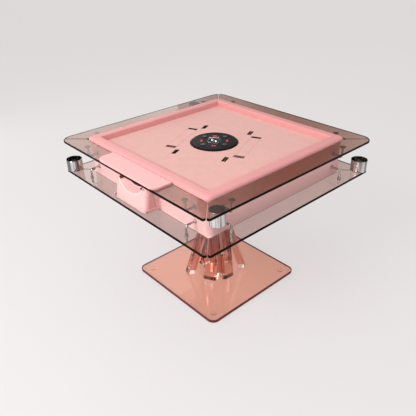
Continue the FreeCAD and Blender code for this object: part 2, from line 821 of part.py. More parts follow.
# Flap: a rounded pink board on the front pane, hinged on a pin along the rim.
lid_low = "(top_glass_level + glass_thick)"
lid_axis_y = "(-rim_half - lid_axis_offset)"
lid_axis_z = f"({lid_low} + lid_thick / 2)"
lid_depth = f"(lid_front + {lid_axis_y})"
lid_body, lid_plate = rounded_plate("lid_width", lid_depth, "0", "lid_thick", "lid_corner",
                                    keep=lambda point: point.y < 0)
lid_back = lid_plate.Shape.BoundBox.YMax
lid_names = [name for name, middle in level_edges(lid_plate.Shape, size("lid_thick"))
             if middle.y < lid_back - TOLERANCE_SHARE]
round_edges(lid_body, lid_plate, lid_names, "lid_edge")
place(lid_body, "lid_centre", f"{lid_axis_y} - {lid_depth} / 2", lid_low)
bead = rod("lid_thick / 2", "lid_width", "lid_centre - lid_width / 2", lid_axis_y, lid_axis_z, "X")
ears = []
notches = []
for sign in ("+", "-"):
    ear_x = f"lid_centre {sign} lid_ear_spread"
    eye = rod("lid_thick / 2 - lid_ear_play", "lid_ear_width", f"{ear_x} - lid_ear_width / 2",
              lid_axis_y, lid_axis_z, "X")
    neck = block("lid_ear_width", "lid_axis_offset", "lid_thick - 2 * lid_ear_play", ear_x,
                 f"{lid_axis_y} + lid_axis_offset / 2", f"{lid_low} + lid_ear_play")
    eye_bore = rod("lid_pin_radius + pin_play", "lid_ear_width + 2 * overrun",
                   f"{ear_x} - lid_ear_width / 2 - overrun", lid_axis_y, lid_axis_z, "X")
    ears.append(cut(fuse(eye, neck), eye_bore))
    notches.append(block("lid_ear_width + 2 * lid_ear_play", "2 * lid_notch_reach",
                         "lid_thick + 2 * overrun", ear_x, lid_axis_y, f"{lid_low} - overrun"))
lid_bore = rod("lid_pin_radius + pin_play", "lid_width + 2 * overrun",
               "lid_centre - lid_width / 2 - overrun", lid_axis_y, lid_axis_z, "X")
node(cut(fuse(lid_body, bead), *notches, lid_bore), "side_lid")
node(group(*ears), "lid_hinges")
lid_pin = rod("lid_pin_radius", "lid_width", "lid_centre - lid_width / 2", lid_axis_y, lid_axis_z, "X")

# Tile bin: a thick scooped front with a tub behind it. It tips out on two pins
# low in its front, between the cheeks of a bracket on the casing.
bin_top = "(bin_floor + bin_height)"
bin_left = "(bin_centre - bin_width / 2)"
bin_right = "(bin_centre + bin_width / 2)"
tub_side = "(cheek_thick + bin_play)"
front = frustum((bin_left, bin_right, "-casing_half - bin_front_foot", "-casing_half - bin_seam_foot"),
                (bin_left, bin_right, "-casing_half - bin_front_head", "-casing_half - bin_seam_head"),
                "bin_floor", bin_top)
tub = block(f"bin_width - 2 * {tub_side}", "bin_seam_head - bin_back", "bin_height", "bin_centre",
            "-casing_half - (bin_seam_head + bin_back) / 2", "bin_floor")
cavity = block(f"bin_width - 2 * {tub_side} - 2 * bin_wall", "bin_cavity_front - bin_back - bin_wall",
               "bin_height", "bin_centre",
               "-casing_half - (bin_cavity_front + bin_back + bin_wall) / 2", "bin_floor + bin_wall")


def arch(half, drop, y):
    """A flat oval across the front, centred on the top edge of the bin."""
    oval = doc.addObject("Part::Ellipse", "Oval")
    bind(oval, MajorRadius=half, MinorRadius=drop)
    oval.Placement = FreeCAD.Placement(ORIGIN, FreeCAD.Rotation(ALONG, QUARTER_TURN))
    place(oval, "bin_centre", y, bin_top)
    return oval


scoop = doc.addObject("Part::Loft", "Scoop")
scoop_back = "-casing_half - bin_cavity_front + bin_wall / 2"
scoop.Sections = [arch("scoop_half", "scoop_drop", "-casing_half - bin_front_foot"),
                  arch("scoop_inner_half", "scoop_inner_drop", scoop_back)]
scoop.Solid = True
scoop.Ruled = True
grip_slots = group(*[block("grip_slot_width", "2 * grip_slot_depth", "grip_slot_height",
                           f"bin_centre {sign} grip_slot_offset", "-casing_half - bin_front_head",
                           f"{bin_top} - grip_slot_drop") for sign in ("+", "-")])
pivot_y = "(-casing_half - bin_front_foot + bin_pivot_in)"
pivot_z = "(bin_floor + bin_pivot_up)"
pin_bores = group(rod("bin_pin_radius + pin_play", "bin_pin_depth + overrun", f"{bin_left} - overrun",
                      pivot_y, pivot_z, "X"),
                  rod("bin_pin_radius + pin_play", "bin_pin_depth + overrun",
                      f"{bin_right} - bin_pin_depth", pivot_y, pivot_z, "X"))
node(cut(fuse(front, tub), cavity, scoop, grip_slots, pin_bores), "tile_bin")

arm_out = "(bin_play + bracket_thick)"
bracket = [block(f"bin_width + 2 * {arm_out}", "bracket_thick", "bin_height", "bin_centre",
                 "-casing_half - bracket_thick / 2", "bin_floor")]
pins = [lid_pin, *cup_pins]
for side, edge, inward in (("left", bin_left, "+"), ("right", bin_right, "-")):
    outward = "-" if inward == "+" else "+"
    low_x, high_x = (edge, f"{edge} + cheek_thick") if side == "left" else (f"{edge} - cheek_thick", edge)
    back_y = "-casing_half - bracket_thick"
    bracket.append(frustum((low_x, high_x, "-casing_half - bin_seam_foot + cheek_foot_gap", back_y),
                           (low_x, high_x, "-casing_half - bin_seam_head + bin_play", back_y),
                           "bin_floor", bin_top))
    arm_x = f"{edge} {outward} bin_play {outward} bracket_thick / 2"
    lug = block("bracket_thick", "bin_front_foot", "arm_height", arm_x, "-casing_half - bin_front_foot / 2",
                "bin_floor")
    hole = rod("bin_pin_radius + pin_play", "bracket_thick + 2 * overrun",
               f"{arm_x} - bracket_thick / 2 - overrun", pivot_y, pivot_z, "X")
    bracket.append(cut(lug, hole))
    pin_length = f"(bin_pin_depth + {arm_out} - bin_play)"
    pin_start = f"{edge} - {arm_out}" if side == "left" else f"{edge} - bin_pin_depth + bin_play"
    pins.append(rod("bin_pin_radius", pin_length, pin_start, pivot_y, pivot_z, "X"))
node(fuse(*bracket), "bin_bracket")
node(group(*pins), "hinge_pins")

# Control dial: a black disc on a long stem that rises out of a fixed column.
dial_top = f"({cloth_top} + dial_rise)"
dial_low = f"({dial_top} - dial_height)"
stem_low = f"({pan_top} + stem_clear)"
button_spots = [("button_ring", "0"), ("0", "button_ring"), ("-button_ring", "0"), ("0", "-button_ring")]
dial_tools = [rod("dice_well_radius", "dice_well_depth + overrun", z=f"{dial_top} - dice_well_depth"),
              rod("dice_shaft_radius + pin_play", "dice_shaft_length + overrun",
                  z=f"{dial_top} - dice_well_depth - dice_shaft_length")]
button_low = f"({dial_top} + button_rise - button_height)"
for x, y in button_spots:
    dial_tools.append(rod("button_radius + button_play", "button_height + overrun", x, y,
                          f"{button_low} - button_travel"))
displays = []
for number in range(len(SIDE_NAMES)):
    lens_low = f"({dial_top} + display_rise - display_thick)"
    lens = block("display_width", "display_length", "display_thick", x="display_ring", z=lens_low)
    seat = block("display_width + 2 * display_play", "display_length + 2 * display_play",
                 "display_thick + overrun", x="display_ring", z=lens_low)
    displays.append(turn(group(lens), QUARTER_TURN * (number + 1 / 2)))
    dial_tools.append(turn(group(seat), QUARTER_TURN * (number + 1 / 2)))
dial = fuse(rod("dial_radius", "dial_height - dial_bevel", z=dial_low),
            cone("dial_radius", "dial_radius - dial_bevel", "dial_bevel", z=f"{dial_top} - dial_bevel"),
            rod("stem_radius", f"{dial_low} - {stem_low}", z=stem_low))
node(cut(dial, *dial_tools), "dial_housing")
node(group(*displays), "dial_displays")
for number, (x, y) in enumerate(button_spots):
    button = fuse(rod("button_radius", "button_height - button_rise / 2", x, y, button_low),
                  cone("button_radius", "button_radius - button_rise / 2", "button_rise / 2", x, y,
                       f"{button_low} + button_height - button_rise / 2"))
    node(button, f"dial_button_{number + 1}")

# Dice dome, and inside it a small spinning disc that throws two dice.


def shell_of_revolution(radius, height):
    solid = doc.addObject("Part::Ellipsoid", "Dome")
    bind(solid, Radius1=height, Radius2=radius, Radius3=radius)
    place(solid, z=dial_top)
    return solid


dome_skin = cut(shell_of_revolution("dome_radius", "dome_height"),
                shell_of_revolution("dome_radius - dome_wall", "dome_height - dome_wall"),
                block("4 * dome_radius", "4 * dome_radius", "2 * dome_height",
                      z=f"{dial_top} - 2 * dome_height"))
node(dome_skin, "dice_dome")
disc_low = f"({dial_top} - dice_well_depth + dice_disc_play)"
node(fuse(rod("dice_well_radius - dice_disc_play", "dice_disc_thick", z=disc_low),
          rod("dice_shaft_radius", "dice_shaft_length", z=f"{disc_low} - dice_shaft_length")), "dice_disc")
die_low = f"{disc_low} + dice_disc_thick"
node(group(*[block("dice_side", "dice_side", "dice_side", f"{sign}dice_ring", z=die_low)
             for sign in ("", "-")]), "dice")

# Tile lifts: four cloth-topped plates on flat stems, each in its own well.
plate_low = f"({cloth_top} - lift_plate_thick)"
well_low = f"({board_low} - well_depth)"
wells = []
guides = []
for number in range(len(SIDE_NAMES)):
    lift_angle = LIFT_TURN + QUARTER_TURN * number
    tray = block("lift_width - 2 * lift_play", "lift_span - lift_slot", "lift_plate_thick",
                 x="lift_radius", z=plate_low)
    stem = block("lift_stem_thick", "lift_stem_width", "lift_stem_drop", x="lift_radius",
                 z=f"{plate_low} - lift_stem_drop")
    node(turn(fuse(tray, stem), lift_angle), f"lift_plate_{number + 1}")
    shaft = block("lift_stem_thick + 2 * stem_slot_play", "lift_stem_width + 2 * stem_slot_play",
                  f"{board_low} - {pan_low}", x="lift_radius", z=pan_low)
    well_body = block("lift_width + 2 * well_wall", "lift_span + lift_slot + 2 * well_wall", "well_depth",
                      x="lift_radius", z=well_low)
    well_inside = block("lift_width", "lift_span + lift_slot", "well_depth", x="lift_radius",
                        z=f"{well_low} + well_floor")
    wells.append(turn(cut(well_body, well_inside, shaft), lift_angle))
    tower = cut(block("guide_thick", "guide_width", f"{well_low} - {pan_top}",
                      x="lift_radius", z=pan_top), shaft)
    gearbox = block("lift_motor_length", "lift_motor_width", "lift_motor_height",
                    x="lift_radius + guide_thick / 2 + lift_motor_length / 2", z=pan_top)
    guides.append(turn(fuse(tower, gearbox), lift_angle))
node(group(*wells), "tile_wells")
node(group(*guides), "lift_guides")

# Shuffle drum: a fixed bowl with a throat up to the board, round the dial's column.
drum_top = f"({pan_top} + drum_height)"
throat_height = f"({board_low} - throat_clear - {drum_top})"
column_radius = "(stem_radius + stem_play + column_wall)"
drum = fuse(ring("drum_radius", f"{column_radius} + column_seat_play", "drum_wall", z=pan_top),
            ring("drum_radius", "drum_radius - drum_wall", "drum_height", z=pan_top),
            ring("drum_radius", "throat_radius - drum_wall", "drum_wall", z=f"{drum_top} - drum_wall"),
            ring("throat_radius", "throat_radius - drum_wall", throat_height, z=drum_top))
node(drum, "shuffle_drum")
drum_floor = f"({pan_top} + drum_wall)"
column_height = f"({dial_low} - column_clear - {pan_top})"
column = fuse(ring(column_radius, "stem_radius + stem_play", column_height, z=pan_top),
              ring("bearing_radius", f"{column_radius} - column_wall / 2",
                   f"disc_level - bearing_clear - {drum_floor}", z=drum_floor))
node(column, "dial_column")

# Shuffle disc: runs on the column, driven at the hub ring under it by a rubber roller.
ribs = []
rib_inner = f"({column_radius} + disc_rib_inset)"
for number in range(DISC_RIB_COUNT):
    rib_length = f"(disc_radius - disc_rib_inset - {rib_inner})"
    rib = block(rib_length, "disc_rib_width", "disc_rib_height", x=f"{rib_inner} + {rib_length} / 2",
                z="disc_level + disc_thick")
    ribs.append(turn(group(rib), 360 / DISC_RIB_COUNT * number))
disc = fuse(ring("disc_radius", f"{column_radius} + disc_bore_play", "disc_thick", z="disc_level"), *ribs)
hub = ring("disc_hub_radius", "disc_hub_radius - disc_hub_wall", "disc_hub_height",
           z="disc_level - disc_hub_height")
node(group(disc, hub), "shuffle_disc")
roller_x = "(disc_hub_radius + roller_gap + roller_radius)"
roller_low = "(disc_level - roller_clear - roller_height)"
roller_foot = f"({roller_low} - roller_shaft_drop)"
roller = fuse(rod("roller_radius", "roller_height", roller_x, z=roller_low),
              rod("roller_shaft_radius", "roller_shaft_drop", roller_x, z=roller_foot))
node(roller, "drive_roller")
motor = cut(rod("motor_radius", "motor_height", roller_x, z=drum_floor),
            rod("roller_shaft_radius + pin_play", "motor_height", roller_x, z=roller_foot))
node(motor, "drive_motor")

# Electrics: power supply and control board on the floor pan, inlet and switch in the back wall.
supply = block("supply_length", "supply_width", "supply_height", "-supply_offset", "supply_offset", pan_top)
node(supply, "power_supply")
circuit_low = f"({pan_top} + circuit_lift)"
circuit = [block("circuit_length", "circuit_width", "circuit_thick",
                 "circuit_offset", "-circuit_offset", circuit_low)]
for x_sign in ("+", "-"):
    for y_sign in ("+", "-"):
        circuit.append(rod("standoff_radius", "circuit_lift",
                           f"circuit_offset {x_sign} (circuit_length / 2 - standoff_inset)",
                           f"-circuit_offset {y_sign} (circuit_width / 2 - standoff_inset)", pan_top))
    circuit.append(block("chip_side", "chip_side", "chip_height", f"circuit_offset {x_sign} chip_side",
                         "-circuit_offset", f"{circuit_low} + circuit_thick"))
node(fuse(*circuit), "control_board")

inlet_low = "(inlet_level - inlet_plate_height / 2)"
face = "(casing_half + inlet_plate_thick)"
inlet_plate = block("inlet_plate_length", "inlet_plate_thick", "inlet_plate_height", "inlet_centre",
                    "casing_half + inlet_plate_thick / 2", inlet_low)
inlet_body = block("inlet_plate_length - 2 * inlet_body_margin", "inlet_body_depth",
                   "inlet_plate_height - 2 * inlet_body_margin", "inlet_centre",
                   "casing_half - inlet_body_depth / 2", f"{inlet_low} + inlet_body_margin")
socket_x = "(inlet_centre - socket_offset)"
socket = block("socket_length", "socket_depth + overrun", "socket_height", socket_x,
               f"{face} - (socket_depth - overrun) / 2", "inlet_level - socket_height / 2")
switch_x = "(inlet_centre + switch_offset)"
switch_well = block("switch_length + switch_play", "2 * switch_depth + overrun",
                    "switch_height + 2 * switch_play", switch_x,
                    f"{face} - (2 * switch_depth - overrun) / 2",
                    "inlet_level - switch_height / 2 - switch_play")
contacts = [block("socket_pin_width", "socket_pin_length", "socket_pin_height",
                  f"{socket_x} + {shift}", f"{face} - socket_depth + socket_pin_length / 2",
                  "inlet_level - socket_pin_height / 2")
            for shift in ("socket_pin_pitch", "0", "(-socket_pin_pitch)")]
axle_y = f"({face} + switch_rise - switch_depth / 2)"
axle = rod("switch_axle_radius", "switch_length + switch_play",
           f"{switch_x} - (switch_length + switch_play) / 2", axle_y, "inlet_level", "X")
node(fuse(cut(fuse(inlet_plate, inlet_body), socket, switch_well), *contacts, axle), "power_inlet")
rocker = block("switch_length", "switch_depth", "switch_height",
               switch_x, axle_y, "inlet_level - switch_height / 2")
rocker_bore = rod("switch_axle_radius + pin_play", "switch_length + 2 * overrun",
                  f"{switch_x} - switch_length / 2 - overrun", axle_y, "inlet_level", "X")
node(cut(rocker, rocker_bore), "power_switch")

doc.recompute()
for thing in doc.Objects:
    if "Invalid" in thing.State or "Error" in thing.State:
        raise RuntimeError(f"{thing.Name} ({thing.Label}) failed: {thing.State}")
if len(NODES) > 60:
    raise RuntimeError("too many sub-parts")
for thing in NODES:
    if thing.Shape.isNull() or not thing.Shape.isValid() or not thing.Shape.Solids:
        raise RuntimeError(f"{thing.Label} has no valid solid")
for thing in NODES:
    thing.Shape.exportStep(f"parts/{thing.Label}.step")
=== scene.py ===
import math

import bmesh
import bpy
from mathutils import Matrix, Vector


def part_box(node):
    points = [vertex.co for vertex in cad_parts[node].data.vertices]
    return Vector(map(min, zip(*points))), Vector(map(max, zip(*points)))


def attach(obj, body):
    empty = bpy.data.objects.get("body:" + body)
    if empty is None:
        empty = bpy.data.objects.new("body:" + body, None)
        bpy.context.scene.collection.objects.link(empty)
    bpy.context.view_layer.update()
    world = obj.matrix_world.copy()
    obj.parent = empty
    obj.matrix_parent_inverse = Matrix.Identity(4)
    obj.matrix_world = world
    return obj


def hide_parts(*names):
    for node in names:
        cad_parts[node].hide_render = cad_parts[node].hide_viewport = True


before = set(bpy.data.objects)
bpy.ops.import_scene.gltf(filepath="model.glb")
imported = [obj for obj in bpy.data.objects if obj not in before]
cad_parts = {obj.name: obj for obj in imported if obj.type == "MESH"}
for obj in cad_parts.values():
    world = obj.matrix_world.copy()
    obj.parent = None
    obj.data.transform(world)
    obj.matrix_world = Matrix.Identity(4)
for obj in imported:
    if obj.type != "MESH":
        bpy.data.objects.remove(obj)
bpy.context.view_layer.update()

# Camera: a look down at one corner of the table, from the front right.
# The lens and the place were solved from the square outlines of the glass.
camera_place = Vector((1.5431, -1.4134, 1.6021))
camera_yaw = math.radians(138.51)
camera_dip = math.radians(29.98)
camera_roll = math.radians(-1.32)
ahead = Vector((math.cos(camera_yaw) * math.cos(camera_dip), math.sin(camera_yaw) * math.cos(camera_dip),
                -math.sin(camera_dip)))
level = Vector((math.sin(camera_yaw), -math.cos(camera_yaw), 0))
upward = level.cross(ahead)
side_axis = math.cos(camera_roll) * level + math.sin(camera_roll) * upward
top_axis = math.cos(camera_roll) * upward - math.sin(camera_roll) * level
lens = bpy.data.cameras.new("Camera")
lens.sensor_width = 36
lens.lens = 41.43
lens.clip_end = 100
camera = bpy.data.objects.new("Camera", lens)
camera_turn = Matrix((side_axis, top_axis, -ahead)).transposed().to_4x4()
camera.matrix_world = Matrix.Translation(camera_place) @ camera_turn
bpy.context.collection.objects.link(camera)
bpy.context.scene.camera = camera
bpy.context.scene.view_settings.view_transform = "Standard"


# Studio: a wide pale floor, and five soft lamps, the strongest of them high in front of the table.
# The plain room is bright overhead and dimmer along the horizon.
class Wire:
    """An output of a shader node, on which Python's operators add Math nodes."""

    def __init__(self, paint, output):
        self.paint = paint
        self.output = output

    def maths(self, operation, first, second):
        return self.paint.node("ShaderNodeMath", {"operation": operation}, {0: first, 1: second})["Value"]

    def __add__(self, other):
        return self.maths("ADD", self, other)

    __radd__ = __add__

    def __mul__(self, other):
        return self.maths("MULTIPLY", self, other)

    __rmul__ = __mul__

    def __gt__(self, other):
        return self.maths("GREATER_THAN", self, other)

    def __lt__(self, other):
        return self.maths("LESS_THAN", self, other)

    def __pow__(self, other):
        return self.maths("POWER", self, other)

    def __rpow__(self, other):
        return self.maths("POWER", other, self)


class Outputs:
    """The outputs of one node, found by name."""

    def __init__(self, paint, shader_node):
        self.paint = paint
        self.shader_node = shader_node

    def __getitem__(self, key):
        found = next(each for each in self.shader_node.outputs if key in (each.identifier, each.name))
        return Wire(self.paint, found)


class Paint:
    """The nodes of a new material, or of the world."""

    def __init__(self, name, owner=None):
        self.owner = owner or bpy.data.materials.new(name)
        self.owner.use_nodes = True
        self.tree = self.owner.node_tree
        self.tree.nodes.clear()

    def node(self, kind, settings=None, sockets=None):
        shader_node = self.tree.nodes.new(kind)
        for key, value in (settings or {}).items():
            if key == "stops":
                ramp = shader_node.color_ramp.elements
                while len(ramp) < len(value):
                    ramp.new(0.5)
                for element, (position, colour) in zip(ramp, value):
                    element.position = position
                    element.color = (*colour, 1)
            else:
                setattr(shader_node, key, value)
        for key, value in (sockets or {}).items():
            if isinstance(key, int):
                socket = shader_node.inputs[key]
            else:
                socket = next(each for each in shader_node.inputs if key in (each.identifier, each.name))
            if isinstance(value, Wire):
                self.tree.links.new(value.output, socket)
            elif isinstance(value, tuple) and len(value) == 3 and socket.type == "RGBA":
                socket.default_value = (*value, 1)
            else:
                socket.default_value = value
        return Outputs(self, shader_node)

    def place(self):
        return self.node("ShaderNodeTexCoord")["Object"]

    def noise(self, size, detail=2.0, where=None):
        """Cloudy noise from 0 to 1; size is the width of its spots in metres."""
        return self.node("ShaderNodeTexNoise", {}, {"Vector": where or self.place(), "Scale": 1 / size,
                                                    "Detail": detail})["Fac"]

    def mix(self, mask, low, high):
        return self.node("ShaderNodeMix", {"data_type": "RGBA"},
                         {"Factor_Float": mask, "A_Color": low, "B_Color": high})["Result_Color"]

    def split(self, vector):
        return self.node("ShaderNodeSeparateXYZ", {}, {"Vector": vector})

    def ramp(self, mask, stops):
        return self.node("ShaderNodeValToRGB", {"stops": stops}, {"Fac": mask})["Color"]

    def bump(self, height, depth, strength=1.0):
        return self.node("ShaderNodeBump", {}, {"Height": height, "Distance": depth,
                                                "Strength": strength})["Normal"]

    def surface(self, sockets):
        finish = self.node("ShaderNodeBsdfPrincipled", {}, sockets)["BSDF"]
        self.node("ShaderNodeOutputMaterial", {}, {"Surface": finish})
        return self.owner


def shade(red, green, blue):
    """A display colour from 0 to 255 as the linear colour that shaders take."""
    return tuple(((each / 255 + 0.055) / 1.055) ** 2.4 for each in (red, green, blue))


floor_paint = Paint("studio_floor")
floor_cloud = floor_paint.noise(0.9)
floor_tone = floor_paint.mix(floor_cloud, shade(233, 229, 229), shade(236, 232, 232))
floor_lit = floor_paint.node("ShaderNodeBsdfPrincipled", {}, {"Base Color": floor_tone, "Roughness": 0.85,
                                                              "Specular IOR Level": 0.15})["BSDF"]
floor_plain = floor_paint.node("ShaderNodeEmission", {}, {"Color": shade(235, 230, 230)})["Emission"]
floor_sight = floor_paint.node("ShaderNodeLightPath")
floor_rays = floor_sight["Is Camera Ray"] + floor_sight["Is Glossy Ray"] + floor_sight["Is Transmission Ray"]
floor_seen = floor_rays > 0.5
floor_evenness = 0.7
floor_paint.node("ShaderNodeOutputMaterial", {}, {"Surface": floor_paint.node(
    "ShaderNodeMixShader", {}, {0: floor_seen * floor_evenness, 1: floor_lit, 2: floor_plain})["Shader"]})
floor_reach = 40.0
floor_drop = 0.0002
floor_sides = 64
floor_angles = [math.tau * each / floor_sides for each in range(floor_sides)]
floor_mesh = bpy.data.meshes.new("studio_floor")
floor_mesh.from_pydata([(floor_reach * math.cos(angle), floor_reach * math.sin(angle), -floor_drop)
                        for angle in floor_angles], [], [tuple(range(floor_sides))])
floor_mesh.materials.append(floor_paint.owner)
floor = bpy.data.objects.new("studio_floor", floor_mesh)
bpy.context.collection.objects.link(floor)

world = bpy.data.worlds.new("Studio")
bpy.context.scene.world = world
room = Paint("room", world)
around = room.node("ShaderNodeTexCoord")["Generated"]
height = room.split(around)["Z"]
level_way = room.node("ShaderNodeVectorMath", {"operation": "NORMALIZE"}, {
    0: room.node("ShaderNodeMapping", {}, {"Vector": around, "Scale": (1, 1, 0)})["Vector"]})["Vector"]
screens = room.ramp(room.noise(0.30, 1.0, level_way), [
    (0.40, (0.05, 0.048, 0.048)), (0.49, (0.20, 0.197, 0.195)),
    (0.56, (0.50, 0.49, 0.485)), (0.62, (0.80, 0.79, 0.78))])
overhead = room.ramp(height, [
    (0.6, (0.34, 0.335, 0.33)), (0.80, (0.70, 0.69, 0.69)), (1.0, (1.05, 1.05, 1.05))])
rise = room.node("ShaderNodeMapRange", {}, {"Value": height, "From Min": 0.46, "From Max": 0.70})["Result"]
glow = room.mix(rise, screens, overhead)
sight = room.node("ShaderNodeLightPath")
seen = sight["Is Camera Ray"] + sight["Is Transmission Ray"] > 0.5
room.node("ShaderNodeOutputWorld", {}, {
    "Surface": room.node("ShaderNodeBackground", {}, {
        "Color": room.mix(seen, glow, shade(228, 225, 224)), "Strength": 1.0})["Background"]})


def softbox(name, place, width, height, power):
    """A broad lamp that looks at the middle of the table."""
    lamp = bpy.data.lights.new(name, "AREA")
    lamp.shape = "RECTANGLE"
    lamp.size = width
    lamp.size_y = height
    lamp.energy = power
    holder = bpy.data.objects.new(name, lamp)
    toward = Vector((0, 0, lamp_aim)) - Vector(place)
    holder.matrix_world = Matrix.Translation(place) @ toward.to_track_quat("-Z", "Y").to_matrix().to_4x4()
    bpy.context.collection.objects.link(holder)


lamp_aim = 0.6
softbox("key_softbox", (0.20, -2.85, 2.75), 1.7, 1.3, 84)
softbox("front_strip", (-1.2, -3.3, 1.25), 1.2, 0.5, 16)
softbox("left_strip", (-3.2, -0.7, 1.3), 0.35, 1.8, 10)
softbox("right_panel", (3.0, -0.5, 2.4), 1.6, 1.2, 15)
softbox("back_panel", (-3.32, 1.21, 2.58), 2.2, 1.6, 9)


# Base plate and pads: one slab of clear rose acrylic with polished, rounded edges
# lies on five thin, clear silicone pads. Its colour deepens where one looks along the slab.
def arc(centre, radius, start, end, steps=8):
    """Points of a circle's arc from one angle to another, in degrees."""
    return [Vector((centre[0] + radius * math.cos(math.radians(start + (end - start) * step / steps)),
                    centre[1] + radius * math.sin(math.radians(start + (end - start) * step / steps))))
            for step in range(steps + 1)]


def rounded_box(half_x, half_y, radius, centre=(0, 0), steps=8):
    """A rectangle's outline with round corners, anticlockwise."""
    outline = []
    for x_sign, y_sign, start in ((1, 1, 0), (-1, 1, 90), (-1, -1, 180), (1, -1, 270)):
        corner = (centre[0] + x_sign * (half_x - radius), centre[1] + y_sign * (half_y - radius))
        outline += arc(corner, radius, start, start + 90, steps)
    return outline


def inset(outline, amount):
    """Moves a closed outline to its left by amount, mitred at its corners."""
    moved = []
    for before, point, after in zip(outline[-1:] + outline[:-1], outline, outline[1:] + outline[:1]):
        arrive = (point - before).normalized()
        leave = (after - point).normalized()
        lean = Vector((-arrive.y - leave.y, arrive.x + leave.x))
        moved.append(point + lean * amount / (1 + arrive.dot(leave)))
    return moved


def slab(mesh, outlines, low, high, edge, place=Matrix(), steps=3, rim_sides=0, rim_border=0.0):
    """Adds a plate with rounded edges; its outline runs anticlockwise, and those of its holes clockwise.

    The first rim_sides sides of the outline take the second material, with a border of it on both faces.
    """
    levels = [(edge + rim_border, low)] if rim_border else []
    for step in range(steps + 1):
        angle = math.pi / 2 * step / steps
        levels.append((edge * (1 - math.sin(angle)), low + edge * (1 - math.cos(angle))))
    levels += [(amount, low + high - z) for amount, z in reversed(levels)]
    caps = ([], [])
    for outline in outlines:
        count = len(outline)
        rings = [[mesh.verts.new(place @ Vector((*point, z))) for point in inset(outline, amount)]
                 for amount, z in levels]
        for under, over in zip(rings, rings[1:]):
            for here in range(count):
                there = (here + 1) % count
                side = mesh.faces.new((under[here], under[there], over[there], over[here]))
                side.material_index = int(outline is outlines[0] and here < rim_sides)
        for cap, ring in zip(caps, (rings[0], rings[-1])):
            cap += [mesh.edges.get((ring[here], ring[(here + 1) % count])) for here in range(count)]
    for cap in caps:
        bmesh.ops.triangle_fill(mesh, use_beauty=True, edges=cap)


def even_normals(piece):
    """Lets the large flat faces keep flat shading beside their rounded edges."""
    weighted = piece.modifiers.new("Flat faces", "WEIGHTED_NORMAL")
    weighted.keep_sharp = True
    weighted.weight = 100


def new_piece(name, mesh, material, body="root", stands_for=(), crease=35):
    """Makes an object from a bmesh; crease is the angle from which its edges stay sharp."""
    bmesh.ops.recalc_face_normals(mesh, faces=mesh.faces)
    data = bpy.data.meshes.new(name)
    mesh.to_mesh(data)
    mesh.free()
    data.shade_smooth()
    data.set_sharp_from_angle(angle=math.radians(crease))
    data.materials.append(material)
    piece = bpy.data.objects.new(name, data)
    bpy.context.collection.objects.link(piece)
    even_normals(piece)
    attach(piece, body)
    if stands_for:
        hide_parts(*stands_for)
    return piece


def dress(node, material, soften=0.0):
    """Gives a carried-over solid its finish, and rounds its sharp edges by soften."""
    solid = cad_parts[node]
    solid.data.materials.clear()
    solid.data.materials.append(material)
    weld = solid.modifiers.new("Weld", "WELD")
    weld.merge_threshold = 0.00001
    if soften:
        rounding = solid.modifiers.new("Rounding", "BEVEL")
        rounding.width = soften
        rounding.segments = 3
        rounding.limit_method = "ANGLE"
        rounding.angle_limit = math.radians(30)
        rounding.use_clamp_overlap = True
        rounding.miter_outer = "MITER_ARC"
    even_normals(solid)


def clear_stuff(name, passes, density, ior, haze):
    """Tinted clear material.

    Each metre takes density times one minus passes from the logarithm of the light.
    Lamps shine straight through it, so that what stands under it is lit.
    """
    paint = Paint(name)
    tint = paint.node("ShaderNodeVolumeAbsorption", {}, {"Color": passes, "Density": density})["Volume"]
    smear = paint.noise(0.06, 3.0)
    speck = paint.noise(0.004, 2.0)
    body = paint.node("ShaderNodeBsdfPrincipled", {}, {
        "Base Color": paint.mix(smear, (0.985, 0.985, 0.985), (1.0, 1.0, 1.0)),
        "Roughness": (smear ** 3) * haze, "IOR": ior, "Transmission Weight": 1.0,
        "Normal": paint.bump(speck, 0.00002, 0.2)})["BSDF"]
    through = paint.node("ShaderNodeBsdfTransparent", {}, {"Color": (0.94, 0.94, 0.94)})["BSDF"]
    shaded = paint.node("ShaderNodeLightPath")["Is Shadow Ray"]
    paint.node("ShaderNodeOutputMaterial", {}, {
        "Surface": paint.node("ShaderNodeMixShader", {}, {0: shaded, 1: body, 2: through})["Shader"],
        "Volume": tint})
    return paint.owner


def edge_stuff(name, low, high, roughness, gloss):
    """The polished edge of a tinted sheet, which gathers the colour of its whole width, or the painted shade
    inside a slot.
    """
    paint = Paint(name)
    smear = paint.noise(0.02, 3.0)
    return paint.surface({"Base Color": paint.mix(smear, low, high), "Roughness": roughness + smear * 0.1,
                          "Specular IOR Level": gloss})


acrylic = clear_stuff("rose_acrylic", (0.87, 0.33, 0.09), 58, 1.49, 0.06)
rose_edge = edge_stuff("rose_edge", shade(92, 32, 34), shade(120, 44, 42), 0.22, 0.25)
plate_half = 0.299
plate_corner = 0.037
plate_low = 0.003
plate_high = 0.018
plate_edge = 0.0018
plate_border = 0.0015
touch_gap = 0.00006
base_outline = rounded_box(plate_half, plate_half, plate_corner, steps=14)
base = bmesh.new()
slab(base, [base_outline], plate_low + touch_gap, plate_high - touch_gap, plate_edge,
     rim_sides=len(base_outline), rim_border=plate_border)
base_slab = new_piece("base_slab", base, acrylic, stands_for=["base_plate"])
base_slab.data.materials.append(rose_edge)

dress("base_pads", clear_stuff("pad_silicone", (0.9, 0.6, 0.5), 20, 1.42, 0.3), 0.0005)

# Pedestal: six bent bars of a paler rose acrylic stand round a core, like a sheaf.
# A pressed steel flange on top of them is bolted up into the machine's floor pan.
leg_acrylic = clear_stuff("leg_acrylic", (0.80, 0.48, 0.38), 21, 1.49, 0.03)
for bar in ("leg_1", "leg_2", "leg_3", "leg_4", "leg_5", "leg_6", "core"):
    dress(f"pedestal_{bar}", leg_acrylic, 0.0008)


